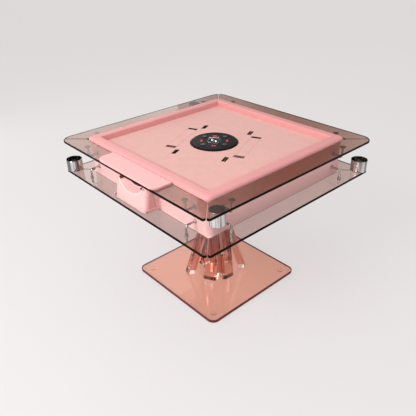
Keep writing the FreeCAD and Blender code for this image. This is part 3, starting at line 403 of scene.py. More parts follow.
def polished(name, streak, stops, roughness):
    """Mirror metal whose colour runs in upright bands of painted reflection, dark and bright, along its
    height.
    """
    paint = Paint(name)
    stretched_up = paint.node("ShaderNodeMapping", {}, {"Vector": paint.place(), "Scale": (1, 1, 0.03)})["Vector"]
    painted_reflections = paint.noise(streak, 2.0, stretched_up)
    fine = paint.noise(0.0009, 4.0, stretched_up)
    return paint.surface({"Base Color": paint.ramp(painted_reflections, stops), "Metallic": 1.0,
                          "Roughness": roughness + fine * 0.07,
                          "Normal": paint.bump(fine, 0.00002, 0.4)})


pan_paint = Paint("pan_steel")
pan_grain = pan_paint.noise(0.0015, 4.0)
pan_cloud = pan_paint.noise(0.03, 3.0)
pan_finish = pan_paint.surface({
    "Base Color": pan_paint.mix(pan_cloud, shade(128, 128, 131), shade(146, 146, 148)), "Metallic": 0.5,
    "Roughness": 0.38 + pan_grain * pan_cloud * 0.08, "Normal": pan_paint.bump(pan_grain, 0.00002, 0.4)})
# The chrome's colour holds painted reflections: upright dark and bright bands.
chrome = polished("chrome", 0.006, [(0.36, (0.24, 0.24, 0.24)), (0.46, (0.38, 0.38, 0.38)),
                                    (0.54, (0.56, 0.56, 0.56)), (0.64, (0.66, 0.66, 0.66))], 0.03)
dress("pedestal_flange", pan_finish, 0.0015)
dress("flange_bolts", chrome, 0.0006)


# Casing and floor pan: a moulded pink skirt with rounded corners and a turned-in foot.
# The machine's sheet steel floor is laid on its lip from inside.
def moulded(name, light, deep, roughness=0.34, coat=0.12):
    """Satin moulded plastic: a fine grain, faint clouds in its colour and duller patches."""
    paint = Paint(name)
    grain = paint.noise(0.0006, 2.0)
    cloudy = paint.noise(0.12, 3.0)
    worn = paint.noise(0.02, 4.0)
    return paint.surface({"Base Color": paint.mix(cloudy, deep, light),
                          "Roughness": roughness + worn * 0.12, "Coat Weight": coat, "Coat Roughness": 0.2,
                          "Normal": paint.bump(grain, 0.00006, 0.5)})


pink_shell = moulded("pink_shell", shade(251, 207, 204), shade(248, 201, 199))
dress("casing_shell", pink_shell)
dress("floor_pan", pan_finish, 0.0008)

# Playing board and cloth: a sanded board on the casing's ledge, and over it one glued sheet
# of short woven pile, cut out for the dial and for the four tile lifts.
board_paint = Paint("board_wood")
board_where = board_paint.node("ShaderNodeMapping", {}, {"Vector": board_paint.place(),
                                                         "Scale": (1, 14, 6)})["Vector"]
board_rings = board_paint.noise(0.09, 6.0, board_where)
board_finish = board_paint.surface({
    "Base Color": board_paint.mix(board_rings, shade(150, 116, 82), shade(199, 166, 124)),
    "Roughness": 0.62 + board_rings * 0.15, "Normal": board_paint.bump(board_rings, 0.0003)})
dress("playing_board", board_finish, 0.0006)

cloth_paint = Paint("cloth")
cloth_where = cloth_paint.place()
cloth_cloud = cloth_paint.noise(0.05, 4.0)
cloth_fleck = cloth_paint.noise(0.0022, 3.0)
weave_pitch = 0.0011
threads, wefts = [cloth_paint.node("ShaderNodeTexWave", {"bands_direction": way}, {
    "Vector": cloth_where, "Scale": 1 / (weave_pitch * 10), "Distortion": 1.2})["Fac"] for way in "XY"]
weave = threads * wefts
cloth_tone = cloth_cloud * 0.22 + cloth_fleck * 0.78
cloth_finish = cloth_paint.surface({
    "Base Color": cloth_paint.ramp(cloth_tone, [(0.25, shade(210, 157, 149)), (0.5, shade(224, 171, 162)),
                                                (0.78, shade(235, 184, 176))]),
    "Roughness": 0.86, "Specular IOR Level": 0.2, "Sheen Weight": 0.25, "Sheen Roughness": 0.5,
    "Normal": cloth_paint.bump(weave + cloth_fleck * 0.6, 0.0003, 0.6)})
cloth_half = 0.3765
cloth_low = 0.74906
cloth_high = 0.751
dial_hole = 0.1135
lift_radius = 0.166
lift_turn = math.radians(24.6)
lift_half_width = 0.025
lift_half_span = 0.130
cut_corner = 0.001
cutouts = [list(reversed(arc((0, 0), dial_hole, 0, 360 - 360 / 96, 95)))]
for number in range(4):
    turn = Matrix.Rotation(lift_turn + math.pi / 2 * number, 2)
    hole = rounded_box(lift_half_width, lift_half_span, cut_corner, (lift_radius, 0), 3)
    cutouts.append([turn @ point for point in reversed(hole)])
cloth_outline = rounded_box(cloth_half, cloth_half, cut_corner, steps=2)
cloth_mesh = bmesh.new()
slab(cloth_mesh, [cloth_outline, *cutouts], cloth_low, cloth_high, 0.0005)
cloth = new_piece("cloth_sheet", cloth_mesh, cloth_finish, stands_for=["playing_cloth"])
felt_paint = Paint("black_felt")
felt_fuzz = felt_paint.noise(0.0006, 3.0)
felt = felt_paint.surface({"Base Color": felt_paint.mix(felt_fuzz, shade(12, 11, 12), shade(30, 28, 29)),
                           "Roughness": 0.9, "Specular IOR Level": 0.1,
                           "Normal": felt_paint.bump(felt_fuzz, 0.0003)})
felt_half_length = 0.0050


def felt_pads(mesh, number, along, half_width, low, high, edge, steps=3):
    """Adds the felts at both ends of one lift; along is their distance from its middle."""
    outline = rounded_box(half_width, felt_half_length, cut_corner, steps=3)
    turn = Matrix.Rotation(lift_turn + math.pi / 2 * number, 4, "Z")
    for end in (-along, along):
        slab(mesh, [outline], low, high, edge, turn @ Matrix.Translation((lift_radius, end, 0)), steps)


seal_middle = 0.1262
seal_half_width = 0.0245
seal_low = 0.7380
seal_high = 0.7502
seals = bmesh.new()
for number in range(4):
    felt_pads(seals, number, seal_middle, seal_half_width, seal_low, seal_high, 0.0006)
new_piece("lift_end_seals", seals, felt)
band_middle = 0.1149
band_half_width = 0.0240
plate_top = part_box("lift_plate_1")[1].z
for number in range(4):
    bands = bmesh.new()
    felt_pads(bands, number, band_middle, band_half_width, plate_top - 0.0001, plate_top + 0.0002, 0.0001, 1)
    new_piece(f"lift_end_band_{number + 1}", bands, felt, f"lift_{number + 1}")

# Rim: one moulded pink frame with a broad soft outer edge. It stands on the casing, and its
# tongue reaches down inside to hold the board and the cloth's edge.
rim_half = 0.426
rim_corner = 0.0255
tongue_corner = 0.0275
tongue_inset = 0.0096
rim_foot = 0.7575
rim_tongue = 0.74910
rim_wall = 0.0070
rim_soft_in = 0.017
rim_soft_up = 0.0143
rim_flat_end = 0.0435
rim_flat_up = 0.0212
rim_inner_round = 0.0055
tongue_drop = rim_tongue - rim_foot
rim_profile = [(0.0, 0.0), (0.0, rim_wall)]
for step in range(1, 11):
    angle = math.pi / 2 * step / 10
    rim_profile.append((rim_soft_in * (1 - math.cos(angle)), rim_wall + rim_soft_up * math.sin(angle)))
rim_profile += [(0.026, 0.0215), (0.036, 0.0215), (rim_flat_end, rim_flat_up)]
for step in range(1, 6):
    angle = math.pi / 2 * step / 5
    rim_profile.append((rim_flat_end + rim_inner_round * math.sin(angle),
                        rim_flat_up - rim_inner_round * (1 - math.cos(angle))))
rim_profile += [(0.049, tongue_drop + 0.0006), (0.0484, tongue_drop), (tongue_inset, tongue_drop),
                (tongue_inset, 0.0001), (0.0006, 0.0001)]
rim_mesh = bmesh.new()
rim_rings = []
for inward, up in rim_profile:
    corner = tongue_corner if inward == tongue_inset else max(rim_corner - inward, 0.0012)
    outline = rounded_box(rim_half - inward, rim_half - inward, corner, steps=8)
    rim_rings.append([rim_mesh.verts.new((*point, rim_foot + up)) for point in outline])
for near, far in zip(rim_rings, rim_rings[1:] + rim_rings[:1]):
    for here in range(len(near)):
        there = (here + 1) % len(near)
        rim_mesh.faces.new((near[here], near[there], far[there], far[here]))
rim_pink = moulded("rim_pink", shade(229, 160, 158), shade(225, 153, 152), 0.42, 0.0)
new_piece("rim_moulding", rim_mesh, rim_pink, stands_for=["rim_frame"])

# Glass tiers: four smoked glass panes a tier, mitred at the corners with a fine open seam.
# Their edges are ground round and polished. The front pane is cut out over the tile bin.
smoked = clear_stuff("smoked_glass", (0.527, 0.20, 0.036), 150, 1.52, 0.03)
pale_smoked = clear_stuff("pale_smoked_glass", (0.527, 0.20, 0.10), 85, 1.52, 0.03)
dark_edge = edge_stuff("smoked_edge", shade(6, 5, 4), shade(11, 8, 7), 0.3, 0.05)
glass_thick = 0.008
glass_edge = 0.0012
glass_border = 0.0036
hook_hole = 0.0052
seam = 0.002 / math.sqrt(2)
tip = 0.006
near_tip = 0.009
side_names = ("front", "right", "back", "left")


def pane_corner(half, rounding, near):
    """The outer right corner of the front pane; the one by the near cup is a mitre with a rounded tip."""
    if near:
        run = near_tip / math.tan(math.radians(22.5))
        corner = (half - seam * math.sqrt(2) - run, near_tip - half)
        return arc(corner, near_tip, -90, 45, 9)
    centre = (half - rounding) * math.sqrt(2)
    across = seam + tip
    along = math.sqrt((rounding - tip) ** 2 - across ** 2)
    meet = math.degrees(math.atan2(across, along))
    corner = arc((centre, 0), rounding, 45, meet, 9) + arc((centre + along, across), tip, meet, -90, 6)[1:]
    return [Vector(((u - v) / math.sqrt(2), -(u + v) / math.sqrt(2))) for u, v in corner]


def glass_tier(half, rounding, inner, low, label, glass, notch, holes):
    """Four panes; notch is an open outline that breaks the front pane's inner edge."""
    for number, side in enumerate(side_names):
        right = pane_corner(half, rounding, number == 0)
        left = [Vector((-point.x, point.y)) for point in reversed(pane_corner(half, rounding, number == 1))]
        reach = inner - seam * math.sqrt(2)
        outlines = [[*left, *right, Vector((reach, -inner)), *(notch if number == 0 else []),
                     Vector((-reach, -inner))]]
        for x, y in holes:
            outlines.append(list(reversed(arc((x, y), hook_hole, 0, 345, 23))))
        turn = Matrix.Rotation(math.pi / 2 * number, 4, "Z")
        pane = bmesh.new()
        slab(pane, outlines, low + touch_gap, low + glass_thick - touch_gap, glass_edge, turn,
             rim_sides=len(left) + len(right) - 1, rim_border=glass_border)
        node = f"{label}_{side}"
        piece = new_piece(f"{node}_pane", pane, glass, stands_for=[node])
        piece.data.materials.append(dark_edge)


hatch_right = 0.116
hatch_left = -0.100
hatch_front = -0.4995
hatch_round = 0.007
hatch_bend = hatch_front + hatch_round
top_half = 0.520
top_corner = 0.058
top_inner = 0.4275
top_low = 0.758
lower_half = 0.515
lower_corner = 0.020
lower_inner = 0.423
lower_low = 0.6006
hatch_notch = [Vector((hatch_right, -top_inner)),
               *reversed(arc((hatch_right - hatch_round, hatch_bend), hatch_round, -90, 0, 5)),
               *reversed(arc((hatch_left + hatch_round, hatch_bend), hatch_round, -180, -90, 5)),
               Vector((hatch_left, -top_inner))]
post_reach = 0.468
post_spread = 0.347
glass_tier(top_half, top_corner, top_inner, top_low, "top_glass", smoked, hatch_notch, [])
glass_tier(lower_half, lower_corner, lower_inner, lower_low, "lower_glass", pale_smoked, [],
           [(-post_spread, -post_reach), (post_spread, -post_reach)])


# Posts, hooks and collars: chromed round bar. The posts bend up out of the casing to trumpet
# heads under the top glass; the hooks bend down through the lower glass between two collars.
def round_bar(mesh, stations, place, across=Vector((1, 0, 0))):
    """Adds a bar bent in one plane, whose normal is across.

    Each of its stations gives its centre, its way there and its radius.
    """
    sides = 24
    angles = [math.tau * each / sides for each in range(sides)]
    rings = []
    for centre, way, radius in stations:
        over = way.cross(across)
        spokes = [math.cos(angle) * across + math.sin(angle) * over for angle in angles]
        rings.append([mesh.verts.new(place @ (centre + radius * spoke)) for spoke in spokes])
    for near, far in zip(rings, rings[1:]):
        for here in range(sides):
            there = (here + 1) % sides
            mesh.faces.new((near[here], near[there], far[there], far[here]))
    mesh.faces.new(rings[0])
    mesh.faces.new(list(reversed(rings[-1])))


def bent_bar(x, level, radius, up_or_down, upright):
    """Stations from a rosette on the casing out to a bend, and then up or down the given upright part."""
    wall = -0.421
    bend = 0.014
    outward = Vector((0, -1, 0))
    rosette = [(0.0001, 0.0082), (0.0008, 0.0090), (0.0022, 0.0090), (0.0029, 0.0084), (0.0031, 0.0066),
               (0.0040, radius + 0.0006), (0.0060, radius)]
    stations = [(Vector((x, wall - run, level)), outward, wide) for run, wide in rosette]
    middle = Vector((x, bend - post_reach, level + up_or_down * bend))
    for step in range(9):
        angle = math.pi / 2 * step / 8
        way = Vector((0, -math.cos(angle), up_or_down * math.sin(angle)))
        spoke = Vector((0, -math.sin(angle), -up_or_down * math.cos(angle)))
        stations.append((middle + bend * spoke, way, radius))
    return stations + [(Vector((x, -post_reach, z)), Vector((0, 0, up_or_down)), wide) for z, wide in upright]


def lathe(mesh, profile, centre=(0, 0), segments=48):
    """Adds a turned shape about an upright axis, from radii and heights; a radius of zero closes it."""
    rings = []
    for radius, z in profile:
        count = 1 if radius == 0 else segments
        rings.append([mesh.verts.new((centre[0] + radius * math.cos(math.tau * each / segments),
                                      centre[1] + radius * math.sin(math.tau * each / segments), z))
                      for each in range(count)])
    for near, far in zip(rings, rings[1:]):
        for here in range(segments):
            there = (here + 1) % segments
            corners = [near[here % len(near)], near[there % len(near)],
                       far[there % len(far)], far[here % len(far)]]
            mesh.faces.new(list(dict.fromkeys(corners)))


post_level = 0.709
post_radius = 0.005
hook_level = 0.650
hook_radius = 0.0045
neck = 0.741
head_height = 0.015
head_flare = 0.0085
head = [(neck - 0.004, post_radius)]
for step in range(1, 13):
    head.append((neck + head_height * step / 12, post_radius + head_flare * (step / 12) ** 2.2))
head += [(0.7572, 0.0135), (0.7577, 0.0133), (top_low - touch_gap, 0.0128)]
tail = [(0.630, hook_radius), (0.5765, hook_radius), (0.5752, 0.0042), (0.5744, 0.0034), (0.5740, 0.0022)]
posts = bmesh.new()
hooks = bmesh.new()
for number in range(4):
    place = Matrix.Rotation(math.pi / 2 * number, 4, "Z")
    for x in (-post_spread, post_spread):
        round_bar(posts, bent_bar(x, post_level, post_radius, 1, head), place)
        round_bar(hooks, bent_bar(x, hook_level, hook_radius, -1, tail), place)
new_piece("posts", posts, chrome, stands_for=["glass_posts"], crease=50)
new_piece("hooks", hooks, chrome, stands_for=["glass_hooks"], crease=50)
collars = bmesh.new()
collar_bore = 0.0046
collar_wide = 0.0080
collar_high = 0.0059
for number in range(4):
    for x in (-post_spread, post_spread):
        spot = Matrix.Rotation(math.pi / 2 * number, 2) @ Vector((x, -post_reach))
        for low in (0.5946, 0.6086):
            lathe(collars, [(collar_bore, low + 0.0001), (0.0074, low + 0.0001), (collar_wide, low + 0.0007),
                            (collar_wide, low + 0.0040), (0.0072, low + 0.0053), (0.0056, low + collar_high),
                            (collar_bore, low + collar_high), (collar_bore, low + 0.0001)], spot, 24)
bmesh.ops.remove_doubles(collars, verts=collars.verts, dist=0.000001)
new_piece("collars", collars, chrome, stands_for=["hook_collars"])

# Cup holders: deep drawn stainless steel cups with a rolled rim and a rounded foot. Two stand on the
# lower glass. Two hang close under the top glass, on an eye each, and swing out to be filled.
# The cups' colour holds painted reflections: upright dark and bright bands, some near black.
cup_steel = polished("cup_steel", 0.017, [(0.32, (0.12, 0.118, 0.115)), (0.43, (0.30, 0.295, 0.285)),
                                          (0.50, (0.62, 0.61, 0.59)), (0.56, (0.80, 0.79, 0.77)),
                                          (0.66, (0.22, 0.215, 0.21))], 0.05)
cup_wall = 0.0016
cup_roll = 0.0009
foot_round = 0.004
foot_gap = 0.00005


def cup_profile(radius, low, high):
    """Half of a cup's section, from the middle of its underside over the rim to the middle of its floor."""
    inside = radius - cup_wall
    profile = [(0, low + 0.0004), (radius - 0.009, low + 0.0004), (radius - 0.007, low + foot_gap)]
    for step in range(7):
        angle = math.pi / 2 * step / 6
        profile.append((radius - foot_round + foot_round * math.sin(angle),
                        low + foot_gap + foot_round * (1 - math.cos(angle))))
    profile += [(radius, high - 0.006), (radius, high - 0.0024), (radius + 0.0006, high - 0.0018),
                (radius + cup_roll, high - 0.0009), (radius + 0.0003, high - 0.0002), (radius - 0.0008, high),
                (inside - 0.0001, high - 0.0005), (inside, high - 0.0015), (inside, high - 0.006)]
    for step in range(7):
        angle = math.pi / 2 * step / 6
        profile.append((inside - foot_round + foot_round * math.cos(angle),
                        low + cup_wall + foot_round * (1 - math.sin(angle))))
    return profile + [(0, low + cup_wall)]


shelf_cup_radius = 0.0385
shelf_cup_low = 0.6086
shelf_cup_high = 0.6646
shelf_cup_reach = 0.481
for label, place in (("left", -shelf_cup_reach), ("right", shelf_cup_reach)):
    shell = bmesh.new()
    lathe(shell, cup_profile(shelf_cup_radius - cup_roll, shelf_cup_low, shelf_cup_high), (place, place), 72)
    new_piece(f"{label}_cup", shell, cup_steel, stands_for=[f"cup_{label}"])

hung_radius = 0.0315
hung_low = 0.6976
hung_high = 0.7556
pin_reach = 0.037
eye_radius = 0.005
eye_bore = 0.00208
eye_low = 0.7498
eye_high = 0.7554
for label, lean, centre in (("near", 33, (0.478, -0.429)), ("back", 137, (-0.482, 0.292))):
    shell = bmesh.new()
    lathe(shell, cup_profile(hung_radius - cup_roll, hung_low, hung_high), centre, 64)
    spin = Matrix.Translation((*centre, 0)) @ Matrix.Rotation(math.radians(lean), 4, "Z")
    start = hung_radius - 0.0022
    tongue = [Vector((start, -0.0042)), Vector((start + 0.0030, -0.0036)),
              *arc((pin_reach, 0), eye_radius, -60, 60, 14),
              Vector((start + 0.0030, 0.0036)), Vector((start, 0.0042))]
    bore = list(reversed(arc((pin_reach, 0), eye_bore, 0, 345, 23)))
    slab(shell, [tongue, bore], eye_low, eye_high, 0.0005, spin)
    new_piece(f"{label}_cup", shell, cup_steel, f"{label}_cup_holder", [f"cup_{label}"])

# Flap, tile bin and their fittings: a flat pink flap is hinged on a long pin beside the rim. Under it
# hangs a thick moulded bin with a scooped mouth, which tips out between the cheeks of its bracket.
lid_pink = moulded("lid_pink", shade(237, 178, 176), shade(233, 172, 171), 0.36, 0.0)
bin_pink = moulded("bin_pink", shade(242, 187, 183), shade(238, 181, 178))
# The lip beads take a paler pink than the bin: a painted highlight along their ridges.
lip_highlight_pink = moulded("lip_highlight_pink", shade(252, 226, 224), shade(250, 218, 216), 0.25, 0.3)
dress("side_lid", lid_pink)
dress("lid_hinges", lid_pink, 0.0004)
dress("bin_bracket", pink_shell, 0.0008)
dress("hinge_pins", chrome, 0.0003)
bin_mesh = bmesh.new()
bin_mesh.from_mesh(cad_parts["tile_bin"].data)
bmesh.ops.remove_doubles(bin_mesh, verts=bin_mesh.verts, dist=0.00001)
bmesh.ops.dissolve_limit(bin_mesh, angle_limit=math.radians(1), verts=bin_mesh.verts, edges=bin_mesh.edges)
sharp_bin = bpy.data.objects.new("sharp_bin", bpy.data.meshes.new("sharp_bin"))
bin_mesh.to_mesh(sharp_bin.data)
bin_mesh.free()
bin_middle = 0.008
bin_half = 0.1121
bin_foot = 0.612
bin_head = 0.734
bin_corner = 0.019
foot_front = -0.49623
head_front = -0.47488
mould_back = -0.38
mould = bmesh.new()
mould_rings = []
for front, z in ((foot_front, bin_foot), (head_front, bin_head)):
    outline = rounded_box(bin_half, (mould_back - front) / 2, bin_corner,
                          (bin_middle, (front + mould_back) / 2), 10)
    mould_rings.append([mould.verts.new((*point, z)) for point in outline])
foot_ring, head_ring = mould_rings
for here in range(len(foot_ring)):
    there = (here + 1) % len(foot_ring)
    mould.faces.new((foot_ring[here], foot_ring[there], head_ring[there], head_ring[here]))
mould.faces.new(list(reversed(foot_ring)))
mould.faces.new(head_ring)
round_mould = bpy.data.objects.new("round_mould", bpy.data.meshes.new("round_mould"))
mould.to_mesh(round_mould.data)
mould.free()
for each in (sharp_bin, round_mould):
    bpy.context.collection.objects.link(each)
keep_inside = sharp_bin.modifiers.new("Round corners", "BOOLEAN")
keep_inside.operation = "INTERSECT"
keep_inside.object = round_mould
round_bin = bmesh.new()
round_bin.from_object(sharp_bin, bpy.context.evaluated_depsgraph_get())
for each in (sharp_bin, round_mould):
    bpy.data.objects.remove(each)
tile_bin = new_piece("bin_moulding", round_bin, bin_pink, "bin", ["tile_bin"], crease=25)
bin_rounding = tile_bin.modifiers.new("Rounding", "BEVEL")
bin_rounding.width = 0.0014
bin_rounding.segments = 3
bin_rounding.limit_method = "ANGLE"
bin_rounding.angle_limit = math.radians(35)
tile_bin.modifiers.move(1, 0)
mouth_top = 0.733
scoop_front = -0.496
scoop_deep = 0.043
scoop_half = 0.104
scoop_drop = 0.072
scoop_back = -0.4552
outer_lip = []
inner_lip = []
for step in range(3, 62):
    angle = math.pi * step / 64
    over = math.cos(angle)
    down = math.sin(angle)
    depth = (0.021 - 0.0126 * down) / (0.043 - 0.005075 * down)
    outer_lip.append(Vector((bin_middle + (scoop_half - 0.032 * depth) * over,
                             scoop_front + scoop_deep * depth,
                             mouth_top - (scoop_drop - 0.029 * depth) * down)))
    inner_lip.append(Vector((bin_middle + 0.0733 * over, scoop_back, mouth_top - 0.0442 * down)))
# The beads are real raised lips; their pale colour is a painted highlight.
for label, lip, radius in (("bin_outer_lip", outer_lip, 0.0026), ("bin_inner_lip", inner_lip, 0.0022)):
    bead = bmesh.new()
    ways = [(after - before).normalized() for before, after in zip(lip[:1] + lip[:-1], lip[1:] + lip[-1:])]
    round_bar(bead, [(point, way, radius) for point, way in zip(lip, ways)], Matrix(), Vector((0, 1, 0)))
    new_piece(label, bead, lip_highlight_pink, "bin", crease=60)
# Dark rose inserts fill the two slots in the bin's band: their colour is painted shade inside the slots.
slot_shade_paint = edge_stuff("painted_slot_shade", shade(112, 30, 38), shade(134, 42, 50), 0.5, 0.2)
slot_reach = 0.0780
slot_front = -0.4620
slot_level = 0.7095
slot_deep = 0.0192
on_edge = Matrix.Rotation(math.pi / 2, 4, "X")
slots = bmesh.new()
for side in (-slot_reach, slot_reach):
    upright = Matrix.Translation((bin_middle + side, slot_front, slot_level)) @ on_edge
    slab(slots, [rounded_box(0.0095, 0.0026, 0.0020, steps=4)], 0, slot_deep, 0.0004, upright)
new_piece("bin_slot_shade_inserts", slots, slot_shade_paint, "bin")

# Control dial: a glossy black disc with fine turned rings, four push buttons and four red displays.
# It rises out of the cloth on a long stem. A clear dome in its middle covers the dice.
dial_top = 0.757
ring_pitch = 0.0026
dial_paint = Paint("dial_black")
dial_where = dial_paint.split(dial_paint.place())
from_axis = (dial_where["X"] * dial_where["X"] + dial_where["Y"] * dial_where["Y"]) ** 0.5
ring_wave = dial_paint.node("ShaderNodeMath", {"operation": "SINE"}, {
    0: from_axis * (math.tau / ring_pitch)})["Value"]
dial_smear = dial_paint.noise(0.02, 4.0)
dial_black = dial_paint.surface({
    "Base Color": dial_paint.mix(dial_smear, shade(9, 9, 10), shade(17, 17, 18)),
    "Roughness": 0.26 + dial_smear * 0.16, "Specular IOR Level": 0.12,
    "Normal": dial_paint.bump(ring_wave, 0.00006, 0.5)})
dress("dial_housing", dial_black, 0.0006)
button_paint = Paint("button_black")
button_smear = button_paint.noise(0.006, 4.0)
button_black = button_paint.surface({
    "Base Color": button_paint.mix(button_smear, shade(22, 22, 24), shade(38, 38, 40)),
    "Roughness": 0.28 + button_smear * 0.15, "Coat Weight": 0.3})
# The grey arc laid on each button is a painted highlight.
mark_paint = Paint("button_highlight_grey")
mark_smear = mark_paint.noise(0.003)
button_highlight_grey = mark_paint.surface({
    "Base Color": mark_paint.mix(mark_smear, shade(120, 122, 124), shade(150, 151, 153)),
    "Metallic": 0.6, "Roughness": 0.3 + mark_smear * 0.1})
button_reach = 0.070
mark_outside = 0.0085
mark_inside = 0.0070
mark_low = 0.75998
mark_high = 0.76015
button_spots = ((button_reach, 0), (0, button_reach), (-button_reach, 0), (0, -button_reach))
for number, spot in enumerate(button_spots, start=1):
    dress(f"dial_button_{number}", button_black, 0.0005)
    mark = bmesh.new()
    outer = arc(spot, mark_outside, 30 + 90 * number, 210 + 90 * number, 20)
    inner = arc(spot, mark_inside, 210 + 90 * number, 30 + 90 * number, 20)
    slab(mark, [outer + inner], mark_low, mark_high, 0.00005, steps=1)
    new_piece(f"button_mark_{number}", mark, button_highlight_grey, f"button_{number}")
bezels = bmesh.new()
for radius, width in ((0.1035, 0.0012), (0.0880, 0.0007), (0.0365, 0.0016)):
    lathe(bezels, [(radius - width, dial_top - 0.0002), (radius - width, dial_top + 0.0003),
                   (radius - width * 0.6, dial_top + 0.0006), (radius + width * 0.6, dial_top + 0.0006),
                   (radius + width, dial_top + 0.0003), (radius + width, dial_top - 0.0002),
                   (radius - width, dial_top - 0.0002)], segments=96)
for spot in button_spots:
    lathe(bezels, [(0.0130, dial_top - 0.0002), (0.0130, dial_top + 0.0005), (0.0134, dial_top + 0.0008),
                   (0.0142, dial_top + 0.0008), (0.0146, dial_top + 0.0004), (0.0146, dial_top - 0.0002),
                   (0.0130, dial_top - 0.0002)], spot, 40)
bmesh.ops.remove_doubles(bezels, verts=bezels.verts, dist=0.000001)
new_piece("dial_bezels", bezels, dial_black, "dial_head")

lens_paint = Paint("red_lens")
lens_smear = lens_paint.noise(0.004, 3.0)
red_lens = lens_paint.surface({
    "Base Color": lens_paint.mix(lens_smear, shade(90, 8, 8), shade(120, 12, 10)),
    "Roughness": 0.2 + lens_smear * 0.08, "Specular IOR Level": 0.2,
    "Emission Color": lens_paint.mix(lens_smear, shade(170, 18, 16), shade(205, 26, 20)),
    "Emission Strength": 0.8})
dress("dial_displays", red_lens, 0.0003)
glow_paint = Paint("red_segments")
glow_smear = glow_paint.noise(0.003)
red_glow = glow_paint.surface({
    "Base Color": glow_paint.mix(glow_smear, shade(190, 24, 20), shade(220, 34, 28)), "Roughness": 0.4,
    "Emission Color": glow_paint.mix(glow_smear, shade(250, 70, 56), shade(255, 104, 84)),
    "Emission Strength": 1.0})
display_reach = 0.060
digit_low = 0.75738
digit_high = 0.75755
digit_apart = 0.0052
digit_half_width = 0.0024
digit_half_height = 0.0034
bar_thick = 0.00062
digit_bars = {"A": ((0, 1), 0), "B": ((1, 0.5), 90), "C": ((1, -0.5), 90), "D": ((0, -1), 0),
              "E": ((-1, -0.5), 90), "F": ((-1, 0.5), 90), "G": ((0, 0), 0)}
digit_shapes = {"2": "ABGED", "5": "AFGCD", "0": "ABCDEF", "3": "ABGCD"}
digits = bmesh.new()
for number, text in enumerate(("25", "30", "20", "25")):
    turn = Matrix.Rotation(math.pi / 2 * (number + 0.5), 4, "Z")
    facing = turn @ Matrix.Translation((display_reach, 0, 0)) @ Matrix.Rotation(math.pi / 2, 4, "Z")
    for column, digit in zip((-digit_apart, digit_apart), text):
        for name in digit_shapes[digit]:
            (over, up), lie = digit_bars[name]
            long = 0.0019 if lie == 0 else 0.0014
            flat = long - bar_thick
            place = Vector((column + over * digit_half_width, up * digit_half_height, 0))
            spot = facing @ Matrix.Translation(place) @ Matrix.Rotation(math.radians(lie), 4, "Z")
            hexagon = [Vector((long, 0)), Vector((flat, bar_thick)), Vector((-flat, bar_thick)),
                       Vector((-long, 0)), Vector((-flat, -bar_thick)), Vector((flat, -bar_thick))]
            slab(digits, [hexagon], digit_low, digit_high, 0.00004, spot, 1)
new_piece("display_digits", digits, red_glow, "dial_head")

# A pale glowing bar beside the dome is a painted highlight: its colour and glow stand in for light caught
# there, not a lamp.
strip_paint = Paint("glowing_highlight_bar")
strip_haze = strip_paint.noise(0.004)
glowing_highlight_bar = strip_paint.surface({
    "Base Color": strip_paint.mix(strip_haze, shade(206, 208, 210), shade(226, 228, 230)),
    "Roughness": 0.3 + strip_haze * 0.1,
    "Emission Color": strip_paint.mix(strip_haze, shade(150, 152, 154), shade(180, 182, 184)),
    "Emission Strength": 0.8})
strip_reach = 0.041
strip_turn = Matrix.Rotation(math.radians(138), 4, "Z")
strip = bmesh.new()
slab(strip, [rounded_box(0.0017, 0.024, 0.0016, (strip_reach, 0), 4)], 0.7571, 0.7580, 0.0003, strip_turn)
new_piece("painted_highlight_bar", strip, glowing_highlight_bar, "dial_head")
dome_clear = clear_stuff("clear_dome", (0.5, 0.5, 0.5), 120, 1.12, 0.02)
dome_radius = 0.032
dome_height = 0.015
dome_wall = 0.0015


def dome_line(radius, rise):
    """Half of the section of one face of the dome, from its foot to its middle."""
    angles = [math.pi / 2 * step / 16 for step in range(16)]
    line = [(radius * math.cos(angle), dial_top + 0.0001 + rise * math.sin(angle)) for angle in angles]
    return line + [(0, dial_top + rise)]


dome = bmesh.new()
lathe(dome, [*reversed(dome_line(dome_radius, dome_height)),
             *dome_line(dome_radius - dome_wall, dome_height - dome_wall)], segments=64)
new_piece("dome", dome, dome_clear, "dial_head", ["dice_dome"])
ivory_paint = Paint("dice_ivory")
ivory_cloud = ivory_paint.noise(0.004, 3.0)
ivory = ivory_paint.surface({
    "Base Color": ivory_paint.mix(ivory_cloud, shade(232, 226, 210), shade(245, 240, 228)),
    "Roughness": 0.2 + ivory_cloud * 0.1, "Coat Weight": 0.4})
dress("dice", ivory, 0.0012)
die_half = 0.004
die_middle_z = 0.7573
die_offset = 0.011
pip_apart = 0.0022
pip_radius = 0.0007
pip_outline = arc((0, 0), pip_radius, 0, 330, 11)
pips = bmesh.new()
pip_places = {1: [(0, 0)], 2: [(-1, -1), (1, 1)], 3: [(-1, -1), (0, 0), (1, 1)],
              4: [(-1, -1), (1, -1), (-1, 1), (1, 1)], 5: [(-1, -1), (1, -1), (0, 0), (-1, 1), (1, 1)],
              6: [(-1, -1), (-1, 0), (-1, 1), (1, -1), (1, 0), (1, 1)]}
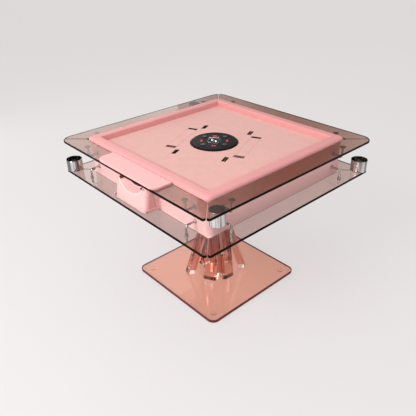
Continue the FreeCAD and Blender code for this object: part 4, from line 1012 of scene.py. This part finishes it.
faces_of_die = [Matrix(), Matrix.Rotation(math.pi, 4, "X"), Matrix.Rotation(math.pi / 2, 4, "X"),
                Matrix.Rotation(-math.pi / 2, 4, "X"), Matrix.Rotation(math.pi / 2, 4, "Y"),
                Matrix.Rotation(-math.pi / 2, 4, "Y")]
for die_x, values in ((-die_offset, (5, 2, 4, 3, 6, 1)), (die_offset, (4, 3, 1, 6, 5, 2))):
    for face, value in zip(faces_of_die, values):
        facing = Matrix.Translation((die_x, 0, die_middle_z)) @ face
        for a, b in pip_places[value]:
            spot = facing @ Matrix.Translation((a * pip_apart, b * pip_apart, die_half))
            slab(pips, [pip_outline], -0.0001, 0.00004, 0.00002, spot, 1)
new_piece("dice_pips", pips, button_black, "dice_spinner")


# Machine inside: wells, drum, turntable, column, drive, power supply and control board are plain
# moulded or pressed parts that show only through the openings and from below. The plates of the
# lifts are covered with the same cloth as the board.
def plain_plastic(name, dark, light, roughness):
    """Plain moulded plastic with a fine grain and faint clouds in its colour."""
    paint = Paint(name)
    grain = paint.noise(0.0007)
    cloudy = paint.noise(0.03, 3.0)
    return paint.surface({"Base Color": paint.mix(cloudy, dark, light), "Roughness": roughness + grain * 0.15,
                          "Normal": paint.bump(grain, 0.0001, 0.6)})


dark_plastic = plain_plastic("dark_plastic", shade(24, 24, 26), shade(38, 38, 40), 0.45)
circuit_green = plain_plastic("circuit", shade(12, 70, 44), shade(20, 96, 60), 0.3)
for node in ("tile_wells", "shuffle_drum", "shuffle_disc", "dice_disc", "power_inlet", "power_switch"):
    dress(node, dark_plastic, 0.0004)
for node in ("lift_guides", "dial_column", "drive_motor", "power_supply"):
    dress(node, pan_finish, 0.0006)
rubber_paint = Paint("roller_rubber")
rubber_grain = rubber_paint.noise(0.0008)
rubber = rubber_paint.surface({
    "Base Color": rubber_paint.mix(rubber_grain, shade(30, 29, 29), shade(48, 46, 46)),
    "Roughness": 0.72 + rubber_grain * 0.2, "Normal": rubber_paint.bump(rubber_grain, 0.0002)})
dress("drive_roller", rubber, 0.0004)
dress("control_board", circuit_green, 0.0002)
for number in range(1, 5):
    dress(f"lift_plate_{number}", cloth_finish, 0.0005)
